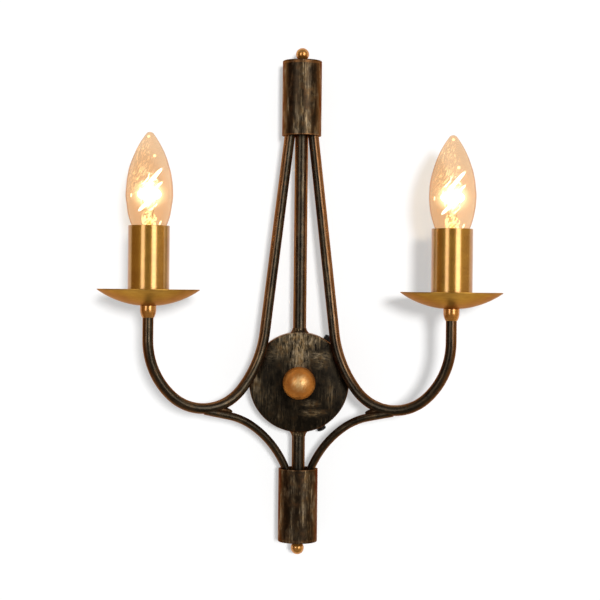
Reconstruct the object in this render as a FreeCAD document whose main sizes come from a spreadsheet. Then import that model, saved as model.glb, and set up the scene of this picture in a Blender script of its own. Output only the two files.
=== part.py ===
import FreeCAD, Part
import math
import os
import Sketcher

# Double arm wall sconce. Origin on the wall behind the middle of the canopy, +Z up, the front facing -Y.
# A vertical stem runs through the canopy between an upper and a lower sleeve. A bent arm tube hangs from
# the upper sleeve on each side and turns up under its candle, and a scroll rod springs from the lower
# sleeve and is brazed to the arm's underside. Both arms lie in upright planes through the stem's axis.

SIZES = {
    # fits, as radial or face clearances
    "slipFit": 0.05,            # a turned end or tube in its hole
    "threadFit": 0.1,           # a screw in a clearance hole
    "bulbFit": 0.3,             # everything that a turning bulb passes
    "loosePlate": 0.3,          # the wall plate's rim inside the canopy
    "nutRounding": 0.985,       # a nut's rounding ball, as a share of its corners' distance squared

    # stem
    "stemStandoff": 18.0,       # wall to the stem's axis
    "stemRadius": 5.0,
    "stemBore": 3.1,
    "stemEndRadius": 4.0,       # turned-down end through the canopy's side wall
    "stemEndReach": 3.0,        # end of the stem past its nut
    "stemStub": 3.0,            # stem and arms past the hub, inside a sleeve
    "stemNutHeight": 3.5,
    "stemNutFlats": 12.0,
    "flareRadius": 6.9,
    "flareNeck": 0.25,          # flare's top edge outside the stem
    "flareHeight": 3.2,
    "flareCurve": 5.5,

    # canopy
    "canopyRadius": 38.0,
    "canopyDepth": 25.5,        # wall to the front edge
    "canopyEdge": 1.2,
    "canopyDome": 2.5,          # rise of the front face over its edge
    "canopyWall": 1.2,
    "knobRadius": 12.35,
    "knobSeatRadius": 7.5,
    "knobStudRadius": 3.0,
    "knobStudGrip": 9.0,        # stud inside the knob
    "knobStudFree": 1.0,        # stud past its nut
    "knobNutHeight": 4.0,
    "knobNutFlats": 10.0,

    # canopy screws, round its side wall
    "screwAngle": 34.0,         # first screw, clockwise from the top
    "screwSetback": 7.0,        # wall to the screws' axes
    "screwRadius": 2.0,
    "screwLength": 6.0,
    "screwHeadRadius": 3.5,
    "screwHeadHeight": 4.2,
    "screwCrown": 0.9,
    "slotWidth": 0.9,
    "slotDepth": 1.1,

    # wall plate
    "plateThickness": 1.5,
    "plateRim": 11.5,           # depth of its rim from the wall
    "anchorSpacing": 50.0,
    "anchorSlotLength": 9.0,
    "anchorSlotWidth": 4.8,
    "inletRadius": 6.0,
    "grommetBore": 4.5,
    "grommetLip": 1.5,          # lip's width past the hole
    "grommetLipHeight": 1.2,
    "grommetLipRound": 0.6,

    # terminal block and earth screw
    "blockWidth": 24.0,
    "blockHeight": 12.0,
    "blockFoot": 10.5,          # above the canopy's middle
    "blockDepth": 19.5,
    "blockScrewRadius": 1.9,
    "blockScrewPitch": 7.5,
    "blockWell": 5.0,
    "blockScrewHeight": 3.0,
    "blockSlotDepth": 0.7,
    "earthAcross": 17.0,
    "earthDown": 14.0,
    "earthHeadHeight": 2.2,

    # sleeves and their ends
    "sleeveWall": 1.0,
    "hubWeb": 0.5,              # metal left in the upper hub beside an arm's hole, on both sides
    "upperSleeveFoot": 188.0,   # over the canopy's middle
    "upperSleeveLength": 55.5,
    "lowerSleeveHead": 66.0,    # under the canopy's middle
    "lowerSleeveLength": 54.0,
    "hubThickness": 2.5,
    "upperHubRecess": 4.0,
    "lowerHubRecess": 5.5,
    "capRim": 1.8,
    "capEdge": 0.8,
    "capSpigot": 3.0,
    "finialRadius": 5.0,
    "finialStudRadius": 2.0,

    # arm tubes
    "armSwingAngle": 22.0,      # arms' planes forward of the wall's direction
    "armRadius": 4.0,
    "armWall": 1.0,
    "armCrankRadius": 40.0,
    "armSlopeAngle": 7.1,       # off the vertical
    "armRun": 150.3,
    "innerBendRadius": 84.0,
    "innerBendAngle": 32.6,
    "bottomBendRadius": 38.0,
    "bottomBendAngle": 92.1,
    "outerBendRadius": 56.5,
    "armRise": 25.0,            # straight under the drip pan

    # scroll rods
    "scrollRadius": 3.0,
    "scrollWeb": 1.0,           # metal left in the lower hub between the stem and a rod
    "scrollCrankRadius": 12.0,
    "scrollLeanAngle": 22.5,    # off the vertical, as it leaves the sleeve
    "scrollFirstAngle": 33.4,
    "scrollCurveRatio": 1.44,   # first curve's radius over the second's
    "scrollLandAngle": 78.0,    # off the vertical, where it meets the arm
    "landAngle": 1.4,           # round the bottom bend, before its lowest point
    "landStep": 0.8,            # rod's underside below the arm's at its end
    "brazeLength": 14.0,
    "brazeWidth": 5.4,
    "brazeHeight": 4.6,

    # bead and drip pan
    "beadRadius": 5.95,
    "beadCheek": 3.0,
    "beadTaper": 6.0,
    "beadFootWall": 0.3,
    "panRadius": 37.75,
    "panCurve": 66.0,
    "panFloorRadius": 8.2,
    "panThickness": 0.9,
    "panLip": 0.6,              # upright edge at the rim
    "panNutHeight": 4.0,
    "panNutFlats": 13.0,

    # candle cover and lampholder
    "coverRadius": 15.3,
    "coverWall": 1.0,
    "coverLength": 56.5,
    "holderRadius": 11.5,
    "holderFootRadius": 9.5,
    "holderFootHeight": 15.0,
    "holderHeight": 40.0,
    "holderGrip": 7.0,          # arm's end inside the lampholder
    "holderFloor": 8.0,
    "holderChamber": 6.0,
    "socketFloor": 17.0,
    "shellWall": 0.5,
    "shellBackFit": 0.1,
    "shellTopGap": 1.0,
    "contactRadius": 2.5,
    "contactThickness": 0.8,

    # bulb
    "bulbThreadRadius": 7.0,
    "bulbSeat": 20.0,           # its contact over the lampholder's foot
    "bulbTipRadius": 2.2,
    "bulbTipHeight": 1.0,
    "bulbThreadFoot": 4.0,
    "bulbThreadTop": 19.5,
    "bulbSkirtFoot": 21.0,
    "bulbNeckRadius": 8.0,
    "bulbCapHeight": 24.0,
    "bulbRadius": 17.6,
    "bulbShoulder": 33.5,       # neck to the widest place
    "bulbFlame": 45.4,          # widest place to the tip
    "bulbTipRound": 3.6,
    "bulbGlass": 0.8,
    "bulbStemRadius": 4.0,
    "bulbStemTop": 1.6,
    "bulbStemHeight": 16.0,
    "filamentHeight": 33.0,
    "filamentSpread": 6.0,
    "filamentWire": 0.35,

    # leads inside the tubes
    "leadRadius": 1.4,
    "leadPitch": 1.6,           # from the stem's axis, in its bore
    "leadTopGap": 1.0,
    "leadLoopRise": 3.0,        # over the arm's open end, inside the sleeve
}

UP = 90.0
DOWN = -90.0
LEFTWARD = 1
RIGHTWARD = -1
SCREW_COUNT = 3
PAST = 1.0                      # a cutting form reaches this far past the face it opens

Vector = FreeCAD.Vector
doc = FreeCAD.newDocument("WallSconce")
sizes = doc.addObject("Spreadsheet::Sheet", "Sizes")
worked = doc.addObject("Spreadsheet::Sheet", "Worked")
nodes = {}


class Dim:
    """A length or angle: its number now, and the expression that gives it in the document."""

    def __init__(self, number, text=None):
        self.number = float(number)
        self.driven = text is not None
        self.text = text or repr(self.number)

    def joined(self, other, sign, number):
        driven = self.driven or other.driven
        text = "(%s %s %s)" % (self.text, sign, other.text)
        return Dim(number, text if driven else None)

    def __add__(self, other):
        other = asDim(other)
        return self.joined(other, "+", self.number + other.number)

    def __sub__(self, other):
        other = asDim(other)
        return self.joined(other, "-", self.number - other.number)

    def __mul__(self, other):
        other = asDim(other)
        return self.joined(other, "*", self.number * other.number)

    def __truediv__(self, other):
        other = asDim(other)
        return self.joined(other, "/", self.number / other.number)

    def __radd__(self, other):
        return asDim(other) + self

    def __rsub__(self, other):
        return asDim(other) - self

    def __rmul__(self, other):
        return asDim(other) * self

    def __neg__(self):
        return asDim(0) - self


def asDim(value):
    return value if isinstance(value, Dim) else Dim(value)


def sine(angle):
    angle = asDim(angle)
    return Dim(math.sin(math.radians(angle.number)), "sin(%s)" % angle.text)


def cosine(angle):
    angle = asDim(angle)
    return Dim(math.cos(math.radians(angle.number)), "cos(%s)" % angle.text)


def root(square):
    return Dim(math.sqrt(square.number), "sqrt(%s)" % square.text)


def fillSizes():
    """Puts the driving dimensions into the sheet and gives each its Dim."""
    known = {}
    for row, (alias, number) in enumerate(SIZES.items(), 1):
        cell = "B%d" % row
        sizes.set("A%d" % row, alias)
        sizes.set(cell, str(number))
        sizes.setAlias(cell, alias)
        known[alias] = Dim(number, "Sizes." + alias)
    doc.recompute()
    return known


def work(alias, value):
    """Keeps a worked-out place in the second sheet, so that many pieces can share it."""
    row = len(worked.getUsedCells()) // 2 + 1
    cell = "B%d" % row
    worked.set("A%d" % row, alias)
    worked.set(cell, "=" + value.text)
    worked.setAlias(cell, alias)
    return Dim(value.number, "Worked." + alias)


def bind(item, prop, value):
    """Sets one property from a Dim, and ties it to the sheet."""
    value = asDim(value)
    if value.driven:
        item.setExpression(prop, value.text)
    else:
        setattr(item, prop, value.number)


def place(item, x=0.0, y=0.0, z=0.0, axis=(0, 0, 1), angle=0.0):
    """Turns a piece about an axis through its own origin, then moves it to its place."""
    spot = [asDim(value) for value in (x, y, z)]
    turn = asDim(angle)
    base = Vector(*[value.number for value in spot])
    item.Placement = FreeCAD.Placement(base, FreeCAD.Rotation(Vector(*axis), turn.number))
    for letter, value in zip("xyz", spot):
        if value.driven:
            item.setExpression("Placement.Base." + letter, value.text)
    if turn.driven:
        item.setExpression("Placement.Rotation.Angle", turn.text)
    return item


def keep(label, item):
    """Names a finished piece; the name is also its file's."""
    item.Label = label
    nodes[label] = item
    return item


def sketchOn(body, role, name):
    sketch = body.newObject("Sketcher::SketchObject", name)
    plane = [item for item in body.Origin.OriginFeatures if item.Role == role][0]
    sketch.AttachmentSupport = [(plane, "")]
    sketch.MapMode = "FlatFace"
    return sketch


def holdValue(sketch, kind, value, *where):
    """A dimension in a sketch, tied to the sheet if its value is."""
    number = sketch.addConstraint(Sketcher.Constraint(kind, *where, value.number))
    if value.driven:
        sketch.setExpression("Constraints[%d]" % number, value.text)


def holdPoint(sketch, edge, end, x, y):
    """Holds one end of an edge at its distances from the sketch's origin."""
    for kind, value, axis in (("DistanceX", x, -2), ("DistanceY", y, -1)):
        if value.number == 0.0 and not value.driven:
            sketch.addConstraint(Sketcher.Constraint("PointOnObject", edge, end, axis))
        else:
            holdValue(sketch, kind, value, -1, 1, edge, end)


def arcBetween(a, b, radius, side):
    """The lesser arc from a to b, turning to the given side, drawn anticlockwise."""
    chord = b - a
    half = chord.Length / 2
    rise = math.sqrt(max(radius * radius - half * half, 0.0))
    normal = Vector(-chord.y, chord.x, 0).normalize()
    centre = (a + b) * 0.5 + normal * (side * rise)
    first, last = (a, b) if side == LEFTWARD else (b, a)
    begin = math.atan2(first.y - centre.y, first.x - centre.x)
    end = math.atan2(last.y - centre.y, last.x - centre.x)
    circle = Part.Circle(centre, Vector(0, 0, 1), radius)
    return Part.ArcOfCircle(circle, begin, end if end > begin else end + 2 * math.pi)


def drawEdges(sketch, points, closed):
    """Edges through points (x, y), or (x, y, radius, side) where an arc arrives at the point.

    In a closed outline, the first point's arc is the one that closes it."""
    points = [tuple(asDim(v) for v in point[:3]) + tuple(point[3:]) for point in points]
    targets = points[1:] + points[:1] if closed else points[1:]
    here = points[0]
    last = None
    for target in targets:
        a = Vector(here[0].number, here[1].number, 0)
        b = Vector(target[0].number, target[1].number, 0)
        start, finish = 1, 2
        if len(target) == 2:
            edge = sketch.addGeometry(Part.LineSegment(a, b))
        else:
            radius, side = target[2:]
            edge = sketch.addGeometry(arcBetween(a, b, radius.number, side))
            holdValue(sketch, "Radius", radius, edge)
            if side == RIGHTWARD:
                start, finish = 2, 1
        if last is None:
            holdPoint(sketch, edge, start, *here[:2])
            opening = (edge, start)
        else:
            sketch.addConstraint(Sketcher.Constraint("Coincident", *last, edge, start))
        last = (edge, finish)
        here = target
        if closed and target is points[0]:
            sketch.addConstraint(Sketcher.Constraint("Coincident", *last, *opening))
        else:
            holdPoint(sketch, edge, finish, *target[:2])


def drawCircle(sketch, x, y, radius):
    x, y, radius = asDim(x), asDim(y), asDim(radius)
    centre = Vector(x.number, y.number, 0)
    edge = sketch.addGeometry(Part.Circle(centre, Vector(0, 0, 1), radius.number))
    holdPoint(sketch, edge, 3, x, y)
    holdValue(sketch, "Radius", radius, edge)


def turned(name, points):
    """A piece turned about its own Z axis from its half outline (radius, height)."""
    body = doc.addObject("PartDesign::Body", name)
    sketch = sketchOn(body, "XZ_Plane", name + "_outline")
    drawEdges(sketch, points, closed=True)
    spin = body.newObject("PartDesign::Revolution", name + "_spin")
    spin.Profile = sketch
    spin.ReferenceAxis = (sketch, ["V_Axis"])
    spin.Angle = 360
    return body


def bent(name, points, *radii):
    """A round bar bent along a route in its XZ plane; a second radius is its bore."""
    body = doc.addObject("PartDesign::Body", name)
    spine = sketchOn(body, "XZ_Plane", name + "_route")
    drawEdges(spine, points, closed=False)
    section = sketchOn(body, "XY_Plane", name + "_section")
    for radius in radii:
        drawCircle(section, points[0][0], 0.0, radius)
    pipe = body.newObject("PartDesign::AdditivePipe", name + "_pipe")
    pipe.Profile = section
    pipe.Spine = (spine, [])
    return body


def padded(name, circles, height):
    """A disc with its holes: the first circle is its edge."""
    body = doc.addObject("PartDesign::Body", name)
    sketch = sketchOn(body, "XY_Plane", name + "_outline")
    for x, y, radius in circles:
        drawCircle(sketch, x, y, radius)
    pad = body.newObject("PartDesign::Pad", name + "_pad")
    pad.Profile = sketch
    bind(pad, "Length", height)
    return body


def ring(name, outer, inner, height):
    return turned(name, [(inner, 0), (outer, 0), (outer, height), (inner, height)])


def rod(name, radius, height):
    cylinder = doc.addObject("Part::Cylinder", name)
    bind(cylinder, "Radius", radius)
    bind(cylinder, "Height", height)
    return cylinder


def block(name, length, width, height):
    box = doc.addObject("Part::Box", name)
    bind(box, "Length", length)
    bind(box, "Width", width)
    bind(box, "Height", height)
    return box


def joinedShape(name, pieces):
    fusion = doc.addObject("Part::MultiFuse", name)
    fusion.Shapes = pieces
    return fusion


def cutAway(name, base, tools):
    cut = doc.addObject("Part::Cut", name)
    cut.Base = base
    cut.Tool = tools[0] if len(tools) == 1 else joinedShape(name + "_tools", tools)
    return cut


def hexCorner(flats):
    return flats / (cosine(30) * 2)


def hexNut(name, flats, bore, height):
    """A nut standing on its face, with corners on its X axis, rounded off by a ball."""
    corner = hexCorner(flats)
    prism = doc.addObject("Part::Prism", name + "_hexagon")
    prism.Polygon = 6
    bind(prism, "Circumradius", corner)
    bind(prism, "Height", height)
    ball = doc.addObject("Part::Sphere", name + "_rounding")
    bind(ball, "Radius", root(corner * corner * S["nutRounding"] + height * height / 4))
    place(ball, z=height / 2)
    rounded = doc.addObject("Part::Common", name + "_rounded")
    rounded.Base = prism
    rounded.Tool = ball
    return cutAway(name, rounded, [rod(name + "_bore", bore, height)])


def route(name, x, y, heading, steps):
    """Corners of a bent bar. A step is a length, or a bend's (radius, turn, side)."""
    x, y, heading = asDim(x), asDim(y), asDim(heading)
    points = [(x, y)]
    for number, step in enumerate(steps, 1):
        if isinstance(step, tuple):
            radius, turn, side = step
            after = heading + turn * side
            x = x + (sine(after) - sine(heading)) * radius * side
            y = y + (cosine(heading) - cosine(after)) * radius * side
            heading = after
        else:
            x = x + cosine(heading) * step
            y = y + sine(heading) * step
        x = work("%sAcross%d" % (name, number), x)
        y = work("%sUp%d" % (name, number), y)
        points.append((x, y) + ((radius, side) if isinstance(step, tuple) else ()))
    return points


S = fillSizes()

# Shared places. Heights are over the canopy's middle.
stemY = -S["stemStandoff"]
canopyInside = S["canopyRadius"] - S["canopyWall"]
innerDome = work("innerDome", (canopyInside * canopyInside / S["canopyDome"] + S["canopyDome"]) / 2)
armPitch = work("armPitch", S["stemRadius"] + S["hubWeb"] + S["armRadius"])
scrollPitch = work("scrollPitch", S["stemRadius"] + S["scrollWeb"] + S["scrollRadius"])
sleeveBore = work("sleeveBore", armPitch + S["armRadius"] + S["hubWeb"])
sleeveRadius = work("sleeveRadius", sleeveBore + S["sleeveWall"])
upperHubFoot = work("upperHubFoot", S["upperSleeveFoot"] + S["upperHubRecess"])
upperTubeTop = work("upperTubeTop", upperHubFoot + S["hubThickness"] + S["stemStub"])
lowerHubFoot = work("lowerHubFoot", -S["lowerSleeveHead"] - S["lowerHubRecess"] - S["hubThickness"])
lowerRodFoot = work("lowerRodFoot", lowerHubFoot - S["stemStub"])
lastBendTurn = 180 - S["armSlopeAngle"] - S["innerBendAngle"] - S["bottomBendAngle"]

armSteps = [
    S["stemStub"] + S["hubThickness"],
    (S["armCrankRadius"], S["armSlopeAngle"], LEFTWARD),
    S["armRun"],
    (S["innerBendRadius"], S["innerBendAngle"], LEFTWARD),
    (S["bottomBendRadius"], S["bottomBendAngle"], LEFTWARD),
    (S["outerBendRadius"], lastBendTurn, LEFTWARD),
    S["armRise"] + S["panThickness"] + S["panNutHeight"] + S["holderGrip"],
]
armRoute = route("arm", armPitch, 0, DOWN, armSteps)
armEnd = armRoute[-1]
reach = armEnd[0]
panFoot = work("panFoot", upperTubeTop + armRoute[-2][1] + S["armRise"])
holderFoot = work("holderFoot", panFoot + S["panThickness"] + S["panNutHeight"])
bulbFoot = work("bulbFoot", holderFoot + S["bulbSeat"])

SIDES = {
    "left": 180 + S["armSwingAngle"],
    "right": -S["armSwingAngle"],
}


def candleSpot(side):
    """The candle's axis on one side."""
    azimuth = SIDES[side]
    return reach * cosine(azimuth), stemY + reach * sine(azimuth)


def makeCanopy():
    radius, wall, edge = S["canopyRadius"], S["canopyWall"], S["canopyEdge"]
    front, dome = S["canopyDepth"], S["canopyDome"]
    domeFoot = radius - edge
    outerCurve = (domeFoot * domeFoot + dome * dome) / (dome * 2)
    inside = canopyInside
    cup = turned("canopy_cup", [
        (inside, 0),
        (radius, 0),
        (radius, front - edge),
        (domeFoot, front, edge, LEFTWARD),
        (0, front + dome, outerCurve, LEFTWARD),
        (0, front + dome - wall),
        (inside, front - wall, innerDome, RIGHTWARD),
    ])
    place(cup, axis=(1, 0, 0), angle=90)
    stemHole = rod("canopy_stem_holes", S["stemEndRadius"] + S["slipFit"], radius * 2 + PAST * 2)
    place(stemHole, y=stemY, z=-(radius + PAST))
    knobHole = rod("canopy_knob_hole", S["knobStudRadius"] + S["threadFit"], dome + wall + PAST * 2)
    place(knobHole, y=-(front - wall - PAST), axis=(1, 0, 0), angle=90)
    holes = [stemHole, knobHole]
    for number in range(SCREW_COUNT):
        name = "canopy_screw_hole_%d" % (number + 1)
        hole = rod(name, S["screwRadius"] + S["threadFit"], wall + PAST * 2)
        screwPlace(hole, number, inside - PAST)
        holes.append(hole)
    return keep("canopy_cover", cutAway("canopy_cover", cup, holes))


def screwPlace(item, number, start):
    """Sets a piece on one of the canopy's screw axes, at a distance from the middle."""
    angle = S["screwAngle"] + number * 360.0 / SCREW_COUNT
    place(item, start * sine(angle), -S["screwSetback"], start * cosine(angle), (0, 1, 0), angle)


def makeCanopyScrews():
    head, height = S["screwHeadRadius"], S["screwHeadHeight"]
    shank = S["screwLength"]
    top = shank + height
    crown = S["screwCrown"]
    crownCurve = (head * head + crown * crown) / (crown * 2)
    for number in range(SCREW_COUNT):
        name = "canopy_screw_%d" % (number + 1)
        body = turned(name + "_blank", [
            (0, 0),
            (S["screwRadius"], 0),
            (S["screwRadius"], shank),
            (head, shank),
            (head, top - crown),
            (0, top, crownCurve, LEFTWARD),
        ])
        slot = block(name + "_slot", (head + PAST) * 2, S["slotWidth"], S["slotDepth"] + PAST)
        place(slot, -(head + PAST), -S["slotWidth"] / 2, top - S["slotDepth"])
        screw = cutAway(name, body, [slot])
        screwPlace(screw, number, S["canopyRadius"] - shank)
        keep(name, screw)


def makeWallPlate():
    rimOut = canopyInside - S["loosePlate"]
    rimIn = rimOut - S["plateThickness"]
    dish = turned("wall_plate_dish", [
        (S["inletRadius"], 0),
        (rimOut, 0),
        (rimOut, S["plateRim"]),
        (rimIn, S["plateRim"]),
        (rimIn, S["plateThickness"]),
        (S["inletRadius"], S["plateThickness"]),
    ])
    place(dish, axis=(1, 0, 0), angle=90)
    half = S["anchorSlotWidth"] / 2
    straight = S["anchorSlotLength"] - S["anchorSlotWidth"]
    deep = S["plateThickness"] + PAST * 2
    holes = []
    for name, sign in (("left", -1), ("right", 1)):
        middle = S["anchorSpacing"] / 2 * sign
        slab = block("anchor_slot_" + name, straight, deep, S["anchorSlotWidth"])
        place(slab, middle - straight / 2, -(S["plateThickness"] + PAST), -half)
        holes.append(slab)
        for end in (-1, 1):
            tip = rod("anchor_end_%s_%s" % (name, "in" if end < 0 else "out"), half, deep)
            place(tip, middle + straight / 2 * end, PAST, 0, (1, 0, 0), 90)
            holes.append(tip)
    for number in range(SCREW_COUNT):
        hole = rod("plate_screw_hole_%d" % (number + 1), S["screwRadius"] + S["slipFit"], deep)
        screwPlace(hole, number, rimIn - PAST)
        holes.append(hole)
    earthHole = rod("plate_earth_hole", S["screwRadius"] + S["slipFit"], deep)
    place(earthHole, -S["earthAcross"], PAST, -S["earthDown"], (1, 0, 0), 90)
    holes.append(earthHole)
    return keep("wall_plate", cutAway("wall_plate", dish, holes))


def makeEarthScrew():
    head, thick = S["screwHeadRadius"], S["plateThickness"]
    top = thick + S["earthHeadHeight"]
    blank = turned("earth_screw_blank", [
        (0, 0),
        (S["screwRadius"], 0),
        (S["screwRadius"], thick),
        (head, thick),
        (head, top),
        (0, top),
    ])
    slot = block("earth_screw_slot", (head + PAST) * 2, S["slotWidth"], S["slotDepth"] + PAST)
    place(slot, -(head + PAST), -S["slotWidth"] / 2, top - S["slotDepth"])
    screw = cutAway("earth_screw", blank, [slot])
    place(screw, -S["earthAcross"], 0, -S["earthDown"], (1, 0, 0), 90)
    keep("earth_screw", screw)


def makeGrommet():
    hole, bore = S["inletRadius"], S["grommetBore"]
    lip = hole + S["grommetLip"]
    thick = S["plateThickness"]
    high, rounding = S["grommetLipHeight"], S["grommetLipRound"]
    body = turned("cable_grommet", [
        (bore, 0),
        (hole - S["slipFit"], 0),
        (hole - S["slipFit"], thick),
        (lip, thick),
        (lip, thick + high - rounding),
        (lip - rounding, thick + high, rounding, LEFTWARD),
        (bore, thick + high),
    ])
    place(body, axis=(1, 0, 0), angle=90)
    keep("cable_grommet", body)


def makeTerminalBlock():
    back, deep = S["plateThickness"], S["blockDepth"]
    wide, tall, well = S["blockWidth"], S["blockHeight"], S["blockWell"]
    base = block("terminal_block_blank", wide, deep, tall)
    place(base, -wide / 2, -(back + deep), S["blockFoot"])
    middle = S["blockFoot"] + tall / 2
    radius, high = S["blockScrewRadius"], S["blockScrewHeight"]
    width, cut = S["slotWidth"], S["blockSlotDepth"]
    cuts = []
    screws = []
    for number, name in enumerate(("left", "middle", "right"), -1):
        across = S["blockScrewPitch"] * number
        hole = rod("terminal_well_" + name, radius + S["slipFit"], well + PAST)
        place(hole, across, -(back + deep - well), middle, (1, 0, 0), 90)
        cuts.append(hole)
        blank = rod("terminal_screw_blank_" + name, radius, high)
        slot = block("terminal_screw_slot_" + name, (radius + PAST) * 2, width, cut + PAST)
        place(slot, -(radius + PAST), -width / 2, high - cut)
        screw = cutAway("terminal_screw_" + name, blank, [slot])
        place(screw, across, -(back + deep - well), middle, (1, 0, 0), 90)
        screws.append(screw)
    for name, sign in (("left", -1), ("right", 1)):
        groove = block("terminal_groove_" + name, width, well + PAST, tall + PAST * 2)
        across = S["blockScrewPitch"] / 2 * sign - width / 2
        place(groove, across, -(back + deep + PAST), S["blockFoot"] - PAST)
        cuts.append(groove)
    keep("terminal_block", cutAway("terminal_block", base, cuts))
    group = doc.addObject("Part::Compound", "terminal_screws")
    group.Links = screws
    keep("terminal_screws", group)


def makeKnob():
    radius, seat = S["knobRadius"], S["knobSeatRadius"]
    back = work("knobBack", S["canopyDepth"] + S["canopyDome"])
    heart = root(radius * radius - seat * seat)
    boreEnd = S["knobStudGrip"] + S["knobStudFree"]
    bore = S["knobStudRadius"] + S["slipFit"]
    knob = turned("centre_knob", [
        (bore, 0),
        (seat, 0),
        (0, heart + radius, radius, LEFTWARD),
        (0, boreEnd),
        (bore, boreEnd),
    ])
    place(knob, y=-back, axis=(1, 0, 0), angle=90)
    keep("centre_knob", knob)
    nutCorner = hexCorner(S["knobNutFlats"])
    inside = back - S["canopyWall"] - innerDome + root(innerDome * innerDome - nutCorner * nutCorner)
    studLength = S["knobNutHeight"] + S["knobStudFree"] + S["canopyWall"] + S["knobStudGrip"]
    stud = turned("knob_stud", [
        (0, 0),
        (S["knobStudRadius"], 0),
        (S["knobStudRadius"], studLength),
        (0, studLength),
    ])
    place(stud, y=-(inside - S["knobNutHeight"] - S["knobStudFree"]), axis=(1, 0, 0), angle=90)
    keep("knob_stud", stud)
    nut = hexNut("knob_nut", S["knobNutFlats"], S["knobStudRadius"] + S["slipFit"], S["knobNutHeight"])
    place(nut, y=-(inside - S["knobNutHeight"]), axis=(1, 0, 0), angle=90)
    keep("knob_nut", nut)


def makeStem(name, sign, farEnd):
    """The stem's upper or lower half, with its flare and nut; sign is 1 above the canopy."""
    canopy, inside = S["canopyRadius"], canopyInside
    nutHalf = hexCorner(S["stemNutFlats"])
    nutSeat = work(name + "NutSeat", root(inside * inside - nutHalf * nutHalf))
    tip = work(name + "StemTip", nutSeat - S["stemNutHeight"] - S["stemEndReach"])
    shoulder = canopy + S["flareHeight"] - tip
    length = farEnd * sign - tip
    stem = turned(name + "_stem", [
        (S["stemBore"], 0),
        (S["stemEndRadius"], 0),
        (S["stemEndRadius"], shoulder),
        (S["stemRadius"], shoulder),
        (S["stemRadius"], length),
        (S["stemBore"], length),
    ])
    upright = 0.0 if sign > 0 else 180.0
    place(stem, 0, stemY, tip * sign, (1, 0, 0), upright)
    keep(name + "_stem", stem)

    base, neck = S["flareRadius"], S["stemRadius"] + S["flareNeck"]
    skirt = canopy - root(canopy * canopy - base * base) + PAST
    flare = turned(name + "_flare_blank", [
        (S["stemEndRadius"] + S["slipFit"], -skirt),
        (base, -skirt),
        (base, 0),
        (neck, S["flareHeight"], S["flareCurve"], RIGHTWARD),
        (S["stemEndRadius"] + S["slipFit"], S["flareHeight"]),
    ])
    place(flare, 0, stemY, canopy * sign, (1, 0, 0), upright)
    drum = rod(name + "_flare_seat", canopy, S["stemStandoff"] * 2)
    place(drum, axis=(1, 0, 0), angle=90)
    keep(name + "_flare", cutAway(name + "_flare", flare, [drum]))

    nutBore = S["stemEndRadius"] + S["slipFit"]
    nut = hexNut(name + "_stem_nut", S["stemNutFlats"], nutBore, S["stemNutHeight"])
    foot = nutSeat - S["stemNutHeight"]
    place(nut, 0, stemY, foot * sign, (1, 0, 0), upright)
    keep(name + "_stem_nut", nut)


def makeSleeve(name, foot, length, hubFoot, capFoot, sign, pitch, tubeRadius):
    """A sleeve with its hub, end cap and ball finial."""
    sleeve = ring(name + "_sleeve", sleeveRadius, sleeveBore, length)
    place(sleeve, 0, stemY, foot)
    keep(name + "_sleeve", sleeve)

    holes = [(0, 0, sleeveBore - S["slipFit"]), (0, 0, S["stemRadius"] + S["slipFit"])]
    for azimuth in SIDES.values():
        holes.append((pitch * cosine(azimuth), pitch * sine(azimuth), tubeRadius + S["slipFit"]))
    hub = padded(name + "_hub", holes, S["hubThickness"])
    place(hub, 0, stemY, hubFoot)
    keep(name + "_hub", hub)

    spigot, rim, edge = S["capSpigot"], S["capRim"], S["capEdge"]
    studHole = S["finialStudRadius"] + S["slipFit"]
    cap = turned(name + "_cap", [
        (studHole, 0),
        (sleeveBore - S["slipFit"], 0),
        (sleeveBore - S["slipFit"], spigot),
        (sleeveRadius, spigot),
        (sleeveRadius, spigot + rim - edge),
        (sleeveRadius - edge, spigot + rim, edge, LEFTWARD),
        (studHole, spigot + rim),
    ])
    upright = 0.0 if sign > 0 else 180.0
    place(cap, 0, stemY, capFoot - spigot * sign, (1, 0, 0), upright)
    keep(name + "_cap", cap)

    ball, stud = S["finialRadius"], S["finialStudRadius"]
    grip = spigot + rim
    heart = root(ball * ball - stud * stud)
    finial = turned(name + "_finial", [
        (0, 0),
        (stud, 0),
        (stud, grip + ball - heart),
        (0, grip + ball * 2, ball, LEFTWARD),
    ])
    place(finial, 0, stemY, capFoot - spigot * sign, (1, 0, 0), upright)
    keep(name + "_finial", finial)


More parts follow.
